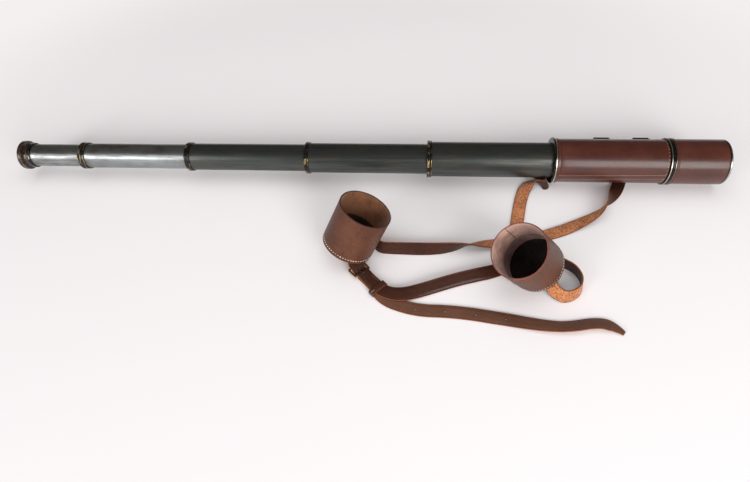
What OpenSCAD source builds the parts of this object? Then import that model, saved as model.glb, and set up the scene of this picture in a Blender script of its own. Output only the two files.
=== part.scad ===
// Five-draw stalking telescope with a leather-covered barrel and sliding sunshade,
// two leather end caps and a carrying sling with a buckle.
// The telescope lies along X with its eyepiece at low X, drawn out as for use.
// The floor that it lies on is z = 0.

/* [Draws] */
// Outside diameter of the first draw, which carries the eyepiece
draw_1_od = 32.6; // [28:0.2:40]
// Growth in outside diameter from the first draw to the second
draw_2_step = 3.2; // [2.6:0.1:8]
// Growth in outside diameter from the second draw to the third
draw_3_step = 2.8; // [2.6:0.1:8]
// Growth in outside diameter from the third draw to the fourth
draw_4_step = 3.7; // [2.6:0.1:8]
// Growth in outside diameter from the fourth draw to the fifth
draw_5_step = 6.5; // [2.6:0.1:10]
// Growth in outside diameter from the fifth draw to the barrel tube
barrel_step = 8; // [5:0.1:12]
// Wall of the draw tubes
draw_wall = 0.6; // [0.4:0.05:0.8]
// Length of the first draw that shows between the eyecup and the next collar
draw_1_out = 77; // [60:1:120]
// Length of the second draw that shows
draw_2_out = 164; // [120:1:166]
// Length of the third draw that shows
draw_3_out = 177; // [168:1:178]
// Length of the fourth draw that shows
draw_4_out = 175; // [172:1:180]
// Length of the fifth draw that shows
draw_5_out = 172; // [166:1:174]
// Length of the first draw kept back inside the second for focusing
focus_reserve = 70; // [20:1:80]
// Length of the sliding bush in the mouth of each tube
bush_len = 22; // [12:1:30]
// Length of the stop ring on the inner end of each draw
stop_len = 5; // [3:0.5:8]
// Play along the axis between a stop ring and its bush
stop_play = 0.4; // [0.2:0.1:1]
// Radial clearance of every sliding fit
slide_clearance = 0.05; // [0.02:0.01:0.09]

/* [Collars] */
// Length of the collar on the second draw
collar_2_len = 9; // [6:0.5:12]
// Length of the collar on the third draw
collar_3_len = 6.5; // [4:0.5:10]
// Length of the collar on the fourth draw
collar_4_len = 5; // [4:0.5:8]
// Length of the collar on the fifth draw
collar_5_len = 5.5; // [4:0.5:8]
// Height of the draw collars above their tubes
collar_rise = 1.7; // [1.2:0.1:2.2]
// Thickness of the lip that closes the bush behind each collar
collar_lip = 1.2; // [0.8:0.1:2]

/* [Eyepiece] */
// Diameter of the eyecup's rim
eyecup_d = 42.4; // [38:0.2:48]
// Length of the eyecup
eyecup_len = 17.4; // [15:0.2:24]
// Length of the eyecup's wide rim
eyecup_rim_len = 7; // [5.5:0.1:8]
// Height of the eyecup's neck above the first draw
eyecup_neck_rise = 2; // [1.2:0.1:2.4]
// Diameter of the eye hole
eye_hole_d = 9; // [5:0.5:12]
// Wall of the eyepiece cell
eyepiece_wall = 1.4; // [0.8:0.1:2]
// Length of the eyepiece cell
eyepiece_len = 40; // [34:1:50]
// Thickness of the eye lens
eye_lens_t = 5; // [3:0.5:6]
// Thickness of the field lens
field_lens_t = 6; // [4:0.5:8]
// Length of the erector tube
erector_len = 56; // [44:1:60]
// Thickness of an erector lens
erector_lens_t = 5; // [4:0.5:7]

/* [Barrel] */
// Length of the barrel from its rear collar to its front ring
barrel_len = 155; // [145:1:180]
// Wall of the barrel tube
barrel_wall = 0.8; // [0.6:0.1:1.2]
// Thickness of the barrel's leather
barrel_leather_t = 1.6; // [1:0.1:2.4]
// Length of the barrel's rear collar
rear_collar_len = 7; // [5:0.5:12]
// Length of the barrel's front ring
front_ring_len = 5.5; // [4:0.5:8]
// Height of the barrel's end rings above its leather
ring_proud = 2.1; // [2:0.1:3]
// Length of the barrel tube that the sunshade covers
spigot_len = 63; // [60:1:65]

/* [Sunshade] */
// Length by which the sunshade, pushed home, reaches past the barrel tube
shade_reach = 10; // [7:1:25]
// Wall of the sunshade tube
shade_wall = 0.6; // [0.4:0.1:1]
// Thickness of the sunshade's leather
shade_leather_t = 1.5; // [1:0.1:2]
// Length of the sunshade's rear ring
shade_ring_len = 5; // [3:0.5:8]
// Height of the sunshade's rear ring above its leather
shade_ring_proud = 1.3; // [0.5:0.1:1.6]
// Length of the sunshade's front ring
shade_lip_len = 3; // [2:0.5:5]
// Gap between the barrel's front ring and the sunshade at rest
shade_gap = 0.4; // [0.2:0.1:1]

/* [Objective] */
// Wall of the objective cell outside the lenses
cell_wall = 1.4; // [1:0.1:2]
// Length of the objective cell inside the barrel tube
cell_len = 16; // [14:0.5:18]
// Thickness of the flange in front of the barrel tube
cell_flange_t = 2; // [1:0.2:3]
// Width of the ledges that hold the lenses
cell_ledge = 1.6; // [1:0.1:2.5]
// Edge thickness of the flint lens
flint_edge_t = 4.2; // [3.6:0.1:5]
// Edge thickness of the crown lens
crown_edge_t = 2.8; // [2:0.1:3.5]
// Depth of the curve that the two lenses share
shared_sag = 2.2; // [1:0.1:2.6]
// Depth of the crown lens's front curve
crown_front_sag = 1.8; // [1:0.1:2.2]
// Thickness of the spacer between the two lenses
spacer_t = 0.3; // [0.2:0.05:0.6]
// Length of the ring that holds the lenses in
retaining_len = 2.4; // [1.5:0.1:3]

/* [Caps] */
// Clearance between a cap and the barrel's end rings
cap_clearance = 0.2; // [0.1:0.1:0.8]
// Length of a cap
cap_len = 64; // [56:1:72]
// Thickness of a cap's wall
cap_wall_t = 1.5; // [1.2:0.1:2]
// Thickness of a cap's lining
cap_lining_t = 0.6; // [0.4:0.1:1]
// Depth of a cap's lining
cap_lining_len = 38; // [24:1:48]
// Thickness of a cap's base
cap_base_t = 2.2; // [1.6:0.1:3]
// Lean of the objective cap from upright
cap_a_tilt = 27.9; // [26:0.1:30]
// Direction in which the objective cap leans
cap_a_azimuth = 26.7; // [25:0.1:28]
// Lean of the eyepiece cap from upright
cap_b_tilt = 34.6; // [33:0.1:36]
// Direction in which the eyepiece cap leans
cap_b_azimuth = 211; // [209:0.5:213]
// Length of a keeper along the strap
cap_keeper_len = 11; // [8:0.5:12]

/* [Sling] */
// Width of the strap
strap_w = 17.5; // [16:0.5:18.4]
// Thickness of the strap
strap_t = 1.7; // [1.2:0.1:1.7]
// Thickness of the keepers' leather
keeper_t = 1.5; // [1:0.1:2]
// Clearance round the strap in a keeper
keeper_clearance = 0.4; // [0.3:0.1:0.6]
// Width of the stitched foot on each side of a keeper
keeper_foot = 4; // [3:0.5:6]
// Length of a barrel keeper along the barrel
barrel_keeper_len = 20; // [14:1:22]
// Place of the rear barrel keeper along the barrel
rear_keeper_x = 70.5; // [66:1:80]
// Place of the front barrel keeper along the barrel
front_keeper_x = 124; // [110:1:126]
// Diameter of the adjusting holes
strap_hole_d = 2.6; // [2.2:0.1:4.5]

/* [Buckle] */
// Diameter of the buckle's frame wire
buckle_wire_d = 3; // [2:0.1:3]
// Diameter of the bar that the tongue turns on
buckle_bar_d = 2.6; // [2:0.1:3]
// Length of the frame between bar centres
buckle_len = 16; // [15:0.5:16]
// Side room of the strap in the frame
buckle_room = 0.7; // [0.4:0.1:1.5]
// Diameter of the tongue
tongue_d = 1.8; // [1.4:0.1:2.2]
// Length of the folded leather that holds the buckle
chape_len = 24; // [20:0.5:24]
// Length of the loop that holds the tail beside the buckle
tail_keeper_len = 8; // [6:0.5:10]

/* [Hidden] */
$fn = 96;
eps = 0.01;
cut = 1;

// Tube radii, from the first draw to the barrel
draw_r = [
    draw_1_od / 2,
    (draw_1_od + draw_2_step) / 2,
    (draw_1_od + draw_2_step + draw_3_step) / 2,
    (draw_1_od + draw_2_step + draw_3_step + draw_4_step) / 2,
    (draw_1_od + draw_2_step + draw_3_step + draw_4_step + draw_5_step) / 2
];
barrel_r = draw_r[4] + barrel_step / 2;
barrel_bore_r = barrel_r - barrel_wall;
// Bore of the tube that each draw slides in
host_bore_r = [for (k = [1:4]) draw_r[k] - draw_wall];
host_r = [for (k = [0:4]) k < 4 ? host_bore_r[k] : barrel_bore_r];

// Place of each tube's rear end along the axis; the barrel's is zero
rear_x = [
    -(draw_1_out + draw_2_out + draw_3_out + draw_4_out + draw_5_out),
    -(draw_2_out + draw_3_out + draw_4_out + draw_5_out),
    -(draw_3_out + draw_4_out + draw_5_out),
    -(draw_4_out + draw_5_out),
    -draw_5_out,
    0
];
reserve = [focus_reserve, 0, 0, 0, 0];
front_x = [for (k = [0:4]) rear_x[k + 1] + bush_len + stop_play + stop_len + reserve[k]];
collar_len = [0, collar_2_len, collar_3_len, collar_4_len, collar_5_len];

eyecup_shoulder = eyecup_rim_len + 0.5;
eyecup_x = rear_x[0] - eyecup_len;
tube_1_x = eyecup_x + eyecup_shoulder;
cell_bore_r = draw_r[0] - draw_wall;
lens_r = cell_bore_r - eyepiece_wall;

leather_r = barrel_r + barrel_leather_t;
ring_r = leather_r + ring_proud;
spigot_x = barrel_len + spigot_len;
shade_len = spigot_len + shade_reach;
shade_x = barrel_len + shade_gap;
shade_end_x = barrel_len + shade_len;
shade_bore_r = barrel_r + slide_clearance;
shade_tube_r = shade_bore_r + shade_wall;
shade_r = shade_tube_r + shade_leather_t;
objective_r = barrel_bore_r - cell_wall;
objective_clear_r = objective_r - cell_ledge;
cell_x = spigot_x - cell_len;
flint_x = cell_x + 3;
spacer_x = flint_x + flint_edge_t;
crown_x = spacer_x + spacer_t;
// The last step of a lens's curve is straight
ledge_rise = 1.9 * (1 - objective_clear_r / objective_r);
retaining_x = crown_x + crown_edge_t;
crown_rear_sag = shared_sag - spacer_t / 2;
axis_z = ring_r;

cap_bore_r = ring_r + cap_clearance;
cap_wall_r = cap_bore_r + cap_lining_t;
cap_r = cap_wall_r + cap_wall_t;
cap_a_xy = [-274.8, -145.4];
cap_b_xy = [-36.5, -172.1];
tunnel_h = strap_t + 2 * keeper_clearance;
tunnel_w = strap_w + 3 * keeper_clearance;

buckle_xy = [-252, -182];
buckle_azimuth = -45;
strap_lift = 0.1;
chape_z = 2.05;
chape_gap = 0.05;
bar_z = chape_z + strap_t + chape_gap + buckle_bar_d / 2;
chape_r = buckle_bar_d / 2 + chape_gap + strap_t;
chape_top_z = chape_z + strap_t + chape_gap;
frame_y = strap_w / 2 + buckle_room + buckle_wire_d / 2;
tail_keeper_s = 30;
chape_fold_len = 14;
keeper_turn = 8;

// The strap's route, from the buckle chape round to the tail's tip. Each point has
// x, y, the height of its lowest edge and the turn of its grain side from upwards.
// The run from x 58 to 138 passes through the barrel keepers, turned as they are.
route = [
    [
        buckle_xy[0] + chape_len * cos(buckle_azimuth),
        buckle_xy[1] + chape_len * sin(buckle_azimuth),
        chape_top_z,
        0
    ],
    [-230.4, -203.3, 3.75, 0],
    [-222.5, -208.2, 3.2, -3],
    [-211, -211.3, 2.5, -8],
    [-196, -211, 2.3, -15],
    [-182, -207, 1, -25],
    [-165, -200.5, 0.1, -32],
    [-147, -193.5, 0.1, -34],
    [-128, -186.5, 0.1, -34],
    [-109, -180.5, 0.1, -32],
    [-92, -174.5, 0.1, -20],
    [-78, -168, 0.1, -7],
    [-66, -161.6, 0.1, -1],
    [-53, -157.5, 0.1, -8],
    [-40, -155.5, 0.1, -22],
    [-26, -155.5, 0.1, -45],
    [-12, -157.5, 0.1, -70],
    [1, -161.5, 0.1, -88],
    [11, -168.5, 0.1, -92],
    [17, -178.5, 0.1, -95],
    [18.5, -190, 0.1, -98],
    [14, -201, 0.1, -102],
    [4, -208.5, 0.1, -108],
    [-7, -210, 0.3, -115],
    [-17, -203.5, 3.5, -126],
    [-23, -193.5, 9.5, -139],
    [-27.7, -185.4, 12.3, -145.4],
    [-31.8, -178.5, 12.6, -145.4],
    [-35.9, -171.7, 12.7, -145.4],
    [-40, -164.9, 12.6, -145.4],
    [-44.1, -158, 12, -145.4],
    [-49, -147, 9, -156],
    [-52.5, -134, 5.2, -171],
    [-54, -120, 2.7, -180],
    [-53, -106, 2.3, -180],
    [-50, -90, 0.4, -180],
    [-46, -70, 0.1, -180],
    [-42.2, -53, 0.1, -180],
    [-38.5, -40, 0.1, -179],
    [-34.5, -29.5, 0.1, -174],
    [-28, -21, 0.1, -162],
    [-20.5, -18, 0.1, -143],
    [-14.5, -19.4, 0.1, -122],
    [-10.2, -24, 0.1, -103],
    [-6.4, -25.7, 0.1, -88],
    [-4.5, -23.9, 0.1, -72],
    [-5.9, -19.4, 0.1, -47],
    [-8.9, -13.3, 0.1, -27],
    [-11.1, -6.5, 0.1, -12],
    [-11.5, 2, 0.1, -2],
    [-11.5, 14, 0.1, 2],
    [-10, 25, 1, 18],
    [-3.5, 34, 3, 48],
    [8, 38.5, 8, 75],
    [21, 38, 14, 88],
    [34, 34.4, 21.5, 87],
    [46, 31.6, 26.6, 83],
    [58, 31, 27.4, 82],
    [84, 31, 27.4, 82],
    [110, 31, 27.4, 82],
    [138, 31, 27.4, 82],
    [148, 33.3, 25.6, 84],
    [160, 34.6, 22, 88],
    [172, 34.8, 16, 90],
    [184, 34, 10, 90],
    [195, 32.8, 4, 90],
    [205, 31.8, 0.6, 90],
    [213, 33.5, 0.1, 90],
    [217, 39, 0.1, 90],
    [213, 44.5, 0.1, 90],
    [203, 46.5, 0.1, 90],
    [185, 45, 0.1, 90],
    [163, 42, 0.1, 90],
    [143, 38, 0.1, 88],
    [128, 31.5, 0.1, 72],
    [117, 21.5, 0.1, 35],
    [108, 10, 0.1, 3],
    [103, -2, 0.1, 0],
    [98.5, -14, 0.1, 0],
    [92.2, -27.4, 0.1, 12],
    [84.7, -39.3, 0.1, 34],
    [77.5, -49.7, 0.1, 66],
    [70.8, -59.6, 0.1, 98],
    [63.8, -68.6, 0.1, 122],
    [55, -76.5, 0.1, 143],
    [43, -84.2, 0.1, 159],
    [28, -92.3, 0.1, 171],
    [10, -101, 0.1, 180],
    [-8, -108.5, 0.1, 180],
    [-26, -115, 0.1, 180],
    [-43, -120.5, 0.1, 180],
    [-60, -124.5, 0.1, 180],
    [-76, -127.5, 0.1, 178],
    [-89, -129, 0.1, 163],
    [-100.5, -131.2, 0.1, 152],
    [-110.5, -133.4, 0.1, 137],
    [-119, -135.4, 0.1, 120],
    [-128, -137.6, 0.1, 102],
    [-140, -140.2, 0.1, 84],
    [-155, -142.2, 0.1, 69],
    [-171, -143, 0.1, 60],
    [-188, -143.3, 0.1, 58],
    [-205, -143.4, 0.1, 62],
    [-220, -143.4, 0.1, 65],
    [-230, -142.6, 0.1, 67],
    [-236.2, -138, 0.1, 68],
    [-239, -129.5, 0.1, 70],
    [-241, -118.5, 0.1, 76],
    [-245.5, -108.5, 0.1, 83],
    [-249, -102, 0.1, 90],
    [-262, -98, 0.1, 90],
    [-275, -100.5, 0.1, 84],
    [-283.5, -109.5, 0.1, 62],
    [-285.3, -120.5, 3.6, 38],
    [-282.5, -131.4, 9.6, 27.9],
    [-278.9, -138.5, 9.95, 27.9],
    [-275.3, -145.7, 10, 27.9],
    [-271.7, -152.9, 10, 27.9],
    [-268.1, -160, 9.75, 27.9],
    [-265.4, -165.6, 8.9, 15],
    [-263, -170.4, 7.6, 0],
    [-259, -174.8, 4.9, 0],
    [-255.5, -178.5, 1.9, 0],
    [-252, -182, 0.1, 0],
    [-246.3, -187.7, 0.1, 0],
    [-242.1, -191.9, 0.2, 0],
    [-237.9, -196.4, 0.8, 0],
    [-233.4, -202.9, 1.5, 0],
    [-229.3, -209.8, 1.5, 0],
    [-222.5, -216.5, 0.6, 0],
    [-213.5, -221.8, 0.1, 0],
    [-203, -225.7, 0.1, 0],
    [-189, -229.5, 0.1, 0],
    [-171, -231.8, 0.1, 0],
    [-153, -232, 0.1, 0],
    [-133, -233, 0.1, 0],
    [-113, -235, 0.1, 0],
    [-93, -238, 0.1, 0],
    [-73, -241, 0.1, 2],
    [-53, -244.5, 0.1, 6],
    [-33, -247.5, 0.1, 12],
    [-14, -248.8, 0.1, 18],
    [3, -247.2, 0.1, 20],
    [18, -244.2, 0.1, 20],
    [31, -243, 0.1, 19],
    [42, -244.6, 0.1, 14],
    [50.5, -248.9, 0.1, 9],
    [57.4, -254, 0.2, 4],
];
route_steps = 3;
tip_len = 20;
hole_places = [[-184, -230.2], [-148, -232.2], [-111, -235.3], [-76, -240.5]];
tongue_slot_s = -6.5;

// Catmull-Rom value at t between b and c
function blend_at(a, b, c, d, t) =
    0.5 * (2 * b + (c - a) * t + (2 * a - 5 * b + 4 * c - d) * t * t
        + (3 * b - a - 3 * c + d) * t * t * t);
function route_at(i) =
    i < 0 ? 2 * route[0] - route[1]
    : i >= len(route) ? 2 * route[len(route) - 1] - route[len(route) - 2]
    : route[i];
function unit(v) = v / norm(v);
function centre_height(p) =
    max(p[2], strap_lift) + strap_w / 2 * abs(sin(p[3])) + strap_t / 2 * abs(cos(p[3]));
samples = [
    for (i = [0:len(route) - 2])
        for (j = [0:(i == len(route) - 2 ? route_steps : route_steps - 1)])
            blend_at(route_at(i - 1), route_at(i), route_at(i + 1), route_at(i + 2), j / route_steps)
];
centres = [for (p = samples) [p[0], p[1], centre_height(p)]];
last_i = len(samples) - 1;
function heading(i) = unit(
    i == 0 ? [cos(buckle_azimuth), sin(buckle_azimuth), 0]
    : i == last_i ? centres[i] - centres[i - 1]
    : centres[i + 1] - centres[i - 1]);
// Distance of a sample from the tip, and the half width there
function to_tip(i) = norm(centres[last_i] - centres[i]);
function half_width(i) =
    i > last_i - 3 * route_steps && to_tip(i) < tip_len
    ? strap_w / 2 * (0.32 + 0.68 * to_tip(i) / tip_len)
    : strap_w / 2;
function ring_at(i) =
    let (
        t = heading(i),
        left = unit(cross([0, 0, 1], t)),
        up = cross(t, left),
        grain = up * cos(samples[i][3]) + left * sin(samples[i][3]),
        side = cross(t, grain),
        w = half_width(i),
        h = strap_t / 2
    )
    [
        centres[i] + side * w + grain * h,
        centres[i] - side * w + grain * h,
        centres[i] - side * w - grain * h,
        centres[i] + side * w - grain * h
    ];
strap_points = [for (i = [0:last_i]) each ring_at(i)];
strap_faces = concat(
    [[0, 1, 2], [0, 2, 3]],
    [
        for (i = [0:last_i - 1])
            for (j = [0:3])
                let (a = 4 * i + j, b = 4 * i + (j + 1) % 4, c = b + 4, d = a + 4)
                    each [[a, d, c], [a, c, b]]
    ],
    [[4 * last_i + 2, 4 * last_i + 1, 4 * last_i], [4 * last_i + 3, 4 * last_i + 2, 4 * last_i]]
);
strap_length = sum_of([for (i = [1:last_i]) norm(centres[i] - centres[i - 1])]);
function sum_of(v, i = 0) = i < len(v) ? v[i] + sum_of(v, i + 1) : 0;

// The whole part is centred over the origin
mid_x = (eyecup_x + shade_end_x) / 2;
strap_ys = [for (p = strap_points) p[1]];
mid_y = (min(strap_ys) + max(strap_ys)) / 2;

gunmetal = [0.17, 0.22, 0.22];
nickel = [0.52, 0.55, 0.57];
bronze = [0.16, 0.14, 0.12];
brass = [0.72, 0.58, 0.30];
leather = [0.33, 0.17, 0.14];
suede = [0.55, 0.36, 0.28];
glass = [0.80, 0.88, 0.86, 0.4];

module placed() {
    translate([-mid_x, -mid_y, 0])
        children();
}

// Turns what stands on z = 0 to run along the telescope's axis from x
module on_axis(x) {
    placed()
        translate([x, 0, axis_z])
            rotate([0, 90, 0])
                children();
}

module tube(x0, x1, outer_r, inner_r) {
    on_axis(x0)
        difference() {
            cylinder(r = outer_r, h = x1 - x0);
            translate([0, 0, -cut])
                cylinder(r = inner_r, h = x1 - x0 + 2 * cut);
        }
}

// A turned ring with a rounded outside and one turned groove
module turned_ring(x, seat_r, outer_r, length, lip_t = 0, lip_bore_r = 0) {
    round_off = 0.7;
    groove_t = 0.5;
    inner_r = lip_t > 0 ? lip_bore_r : seat_r;
    on_axis(x)
        rotate_extrude()
            polygon([
                [inner_r, -lip_t],
                [outer_r - round_off, -lip_t],
                [outer_r, round_off - lip_t],
                [outer_r, length * 0.42],
                [outer_r - groove_t, length * 0.42 + groove_t / 2],
                [outer_r - groove_t, length * 0.6 - groove_t / 2],
                [outer_r, length * 0.6],
                [outer_r, length - round_off],
                [outer_r - round_off, length],
                [seat_r, length],
                [seat_r, 0],
                [inner_r, 0]
            ]);
}

// A lens with its rim from x to x + edge_t; a positive sag bulges outwards
module lens(x, r, edge_t, rear_sag, front_sag) {
    arc_steps = 10;
    on_axis(x)
        rotate_extrude()
            polygon(concat(
                [for (i = [0:arc_steps]) [r * i / arc_steps, -rear_sag * (1 - pow(i / arc_steps, 2))]],
                [for (i = [arc_steps:-1:0])
                    [r * i / arc_steps, edge_t + front_sag * (1 - pow(i / arc_steps, 2))]]
            ));
}

module eyecup() {
    rim_r = eyecup_d / 2;
    neck_r = draw_r[0] + eyecup_neck_rise;
    hole_r = eye_hole_d / 2;
    edge = 1.2;
    dish_z = eyecup_rim_len - 1.8;
    color(bronze)
        on_axis(eyecup_x)
            rotate_extrude()
                polygon([
                    [hole_r, dish_z],
                    [hole_r + 5, dish_z - 1.2],
                    [rim_r - edge - 2, 1.4],
                    [rim_r - edge, 0],
                    [rim_r - 0.4, 0],
                    [rim_r, 0.5],
                    [rim_r, eyecup_rim_len - 0.8],
                    [rim_r - 0.8, eyecup_rim_len],
                    [neck_r - 0.6, eyecup_rim_len + 0.4],
                    [neck_r - 0.6, eyecup_len - 5],
                    [neck_r, eyecup_len - 4.4],
                    [neck_r, eyecup_len - 0.6],
                    [neck_r - 0.6, eyecup_len],
                    [draw_r[0], eyecup_len],
                    [draw_r[0], eyecup_shoulder],
                    [hole_r, eyecup_shoulder]
                ]);
}

module eyepiece_cell() {
    color(brass)
        tube(tube_1_x, tube_1_x + eyepiece_len, cell_bore_r, lens_r);
}

module eye_lens() {
    color(glass)
        lens(tube_1_x + 1, lens_r, eye_lens_t - 2, 0, 2);
}

module field_stop() {
    color(bronze)
        tube(tube_1_x + eyepiece_len / 2, tube_1_x + eyepiece_len / 2 + 1.5, lens_r, lens_r / 2);
}

module field_lens() {
    color(glass)
        lens(tube_1_x + eyepiece_len - field_lens_t, lens_r, field_lens_t - 3, 3, 0);
}

module draw_tube(k) {
    x0 = k == 0 ? tube_1_x : rear_x[k];
    tube(x0, front_x[k], draw_r[k], draw_r[k] - draw_wall);
}

module draw_collar(k) {
    turned_ring(rear_x[k], draw_r[k], draw_r[k] + collar_rise, collar_len[k],
        collar_lip, draw_r[k - 1] + 0.4);
}

module draw_bush(k) {
    tube(rear_x[k], rear_x[k] + bush_len, draw_r[k] - draw_wall, draw_r[k - 1] + slide_clearance);
}

module draw_stop_ring(k) {
    tube(front_x[k] - stop_len, front_x[k], host_r[k] - slide_clearance, draw_r[k]);
}

module draw_1_tube() {
    color(nickel) draw_tube(0);
}

module draw_1_stop_ring() {
    color(brass) draw_stop_ring(0);
}

module erector_tube() {
    color(brass)
        tube(front_x[0] - erector_len, front_x[0], cell_bore_r, lens_r);
}

module erector_rear_lens() {
    color(glass)
        lens(front_x[0] - erector_len + 1, lens_r, erector_lens_t - 2.5, 0, 2.5);
}

module erector_stop() {
    color(bronze)
        tube(front_x[0] - erector_len / 2 - 1, front_x[0] - erector_len / 2 + 1, lens_r, lens_r / 3);
}

module erector_front_lens() {
    color(glass)
        lens(front_x[0] - erector_lens_t + 0.5, lens_r, erector_lens_t - 2.5, 2, 0);
}

module draw_2_tube() {
    color(nickel) draw_tube(1);
}

module draw_2_collar() {
    color(bronze) draw_collar(1);
}

module draw_2_bush() {
    color(brass) draw_bush(1);
}

module draw_2_stop_ring() {
    color(brass) draw_stop_ring(1);
}

module draw_3_tube() {
    color(gunmetal) draw_tube(2);
}

module draw_3_collar() {
    color(bronze) draw_collar(2);
}

module draw_3_bush() {
    color(brass) draw_bush(2);
}

module draw_3_stop_ring() {
    color(brass) draw_stop_ring(2);
}

module draw_4_tube() {
    color(gunmetal) draw_tube(3);
}

module draw_4_collar() {
    color(bronze) draw_collar(3);
}

module draw_4_bush() {
    color(brass) draw_bush(3);
}

module draw_4_stop_ring() {
    color(brass) draw_stop_ring(3);
}

module draw_5_tube() {
    color(gunmetal) draw_tube(4);
}

module draw_5_collar() {
    color(bronze) draw_collar(4);
}

module draw_5_bush() {
    color(brass) draw_bush(4);
}

module draw_5_stop_ring() {
    color(brass) draw_stop_ring(4);
}

module barrel_tube() {
    color(brass)
        tube(0, spigot_x, barrel_r, barrel_bore_r);
}

module barrel_leather() {
    color(leather)
        tube(rear_collar_len, barrel_len - front_ring_len, leather_r, barrel_r);
}

module barrel_rear_collar() {
    color(bronze)
        turned_ring(0, barrel_r, ring_r, rear_collar_len, collar_lip, draw_r[4] + 0.4);
}

module barrel_bush() {
    color(brass)
        tube(0, bush_len, barrel_bore_r, draw_r[4] + slide_clearance);
}

module barrel_front_ring() {
    color(bronze)
        turned_ring(barrel_len - front_ring_len, barrel_r, ring_r, front_ring_len);
}

// Leather bridge over the strap on the barrel's far side
module barrel_keeper(x) {
    top = leather_r + tunnel_h + keeper_t;
    half_top = tunnel_w / 2 + keeper_t;
    half_foot = half_top + keeper_foot;
    foot_drop = 7;
    ramp = 3;
    color(leather)
        placed()
            translate([x, 0, axis_z]) rotate([keeper_turn, 0, 0])
                intersection() {
                    rotate([90, 0, 90])
                        translate([0, 0, -barrel_keeper_len / 2])
                            linear_extrude(barrel_keeper_len)
                                difference() {
                                    polygon([
                                        [leather_r - foot_drop, -half_foot],
                                        [leather_r - foot_drop + 4.4, -half_foot],
                                        [top - 0.8, -half_top],
                                        [top, -half_top + 1.6],
                                        [top, half_top - 1.6],
                                        [top - 0.8, half_top],
                                        [leather_r - foot_drop + 4.4, half_foot],
                                        [leather_r - foot_drop, half_foot]
                                    ]);
                                    circle(r = leather_r);
                                    translate([0, -tunnel_w / 2])
                                        square([leather_r + tunnel_h, tunnel_w]);
                                }
                    translate([0, 0, -leather_r])
                        linear_extrude(2 * leather_r)
                            polygon([
                                [-barrel_keeper_len / 2, 0],
                                [barrel_keeper_len / 2, 0],
                                [barrel_keeper_len / 2, leather_r + tunnel_h],
                                [barrel_keeper_len / 2 - ramp, top + cut],
                                [-barrel_keeper_len / 2 + ramp, top + cut],
                                [-barrel_keeper_len / 2, leather_r + tunnel_h]
                            ]);
                }
}

module barrel_rear_keeper() {
    barrel_keeper(rear_keeper_x);
}

module barrel_front_keeper() {
    barrel_keeper(front_keeper_x);
}

module objective_cell() {
    color(brass)
        on_axis(cell_x)
            rotate_extrude()
                polygon([
                    [objective_clear_r, 0],
                    [barrel_bore_r, 0],
                    [barrel_bore_r, cell_len],
                    [barrel_r, cell_len],
                    [barrel_r, cell_len + cell_flange_t],
                    [objective_r, cell_len + cell_flange_t],
                    [objective_r, flint_x - cell_x],
                    [objective_clear_r, flint_x - cell_x]
                ]);
}

module objective_flint_lens() {
    color(glass)
        lens(flint_x, objective_r, flint_edge_t, 0, -shared_sag);
}

module objective_spacer() {
    color(brass)
        on_axis(spacer_x)
            rotate_extrude()
                polygon([
                    [objective_clear_r, -shared_sag * ledge_rise],
                    [objective_r, 0],
                    [objective_r, spacer_t],
                    [objective_clear_r, spacer_t - crown_rear_sag * ledge_rise]
                ]);
}

module objective_crown_lens() {
    color(glass)
        lens(crown_x, objective_r, crown_edge_t, crown_rear_sag, crown_front_sag);
}

module objective_retaining_ring() {
    color(bronze)
        on_axis(retaining_x)
            rotate_extrude()
                polygon([
                    [objective_r, 0],
                    [objective_r, retaining_len],
                    [objective_clear_r, retaining_len],
                    [objective_clear_r, crown_front_sag * ledge_rise]
                ]);
}

module sunshade_tube() {
    color(brass)
        tube(shade_x, shade_end_x, shade_tube_r, shade_bore_r);
}

module sunshade_leather() {
    color(leather)
        tube(shade_x + shade_ring_len, shade_end_x - shade_lip_len, shade_r, shade_tube_r);
}

module sunshade_rear_ring() {
    color(bronze)
        turned_ring(shade_x, shade_tube_r, shade_r + shade_ring_proud, shade_ring_len);
}

module sunshade_front_ring() {
    color(nickel)
        on_axis(shade_end_x - shade_lip_len)
            rotate_extrude()
                polygon([
                    [shade_tube_r, 0],
                    [shade_r - 0.1, 0],
                    [shade_r - 0.1, shade_lip_len - 0.5],
                    [shade_r - 0.6, shade_lip_len],
                    [shade_tube_r, shade_lip_len]
                ]);
}

// Puts a cap with its base's outer face at z = 0, its lowest edge on the floor
module cap_place(xy, tilt, azimuth) {
    placed()
        translate([xy[0], xy[1], cap_r * sin(tilt)])
            rotate([0, 0, azimuth])
                rotate([0, tilt, 0])
                    children();
}

module ring_up(z0, z1, outer_r, inner_r) {
    translate([0, 0, z0])
        difference() {
            cylinder(r = outer_r, h = z1 - z0);
            translate([0, 0, -cut])
                cylinder(r = inner_r, h = z1 - z0 + 2 * cut);
        }
}

module cap_wall() {
    color(leather)
        ring_up(cap_base_t, cap_len, cap_r, cap_wall_r);
}

module cap_lining() {
    color(suede)
        ring_up(cap_len - cap_lining_len, cap_len, cap_wall_r, cap_bore_r);
}

module cap_base() {
    color(leather)
        cylinder(r = cap_r, h = cap_base_t);
}

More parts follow.
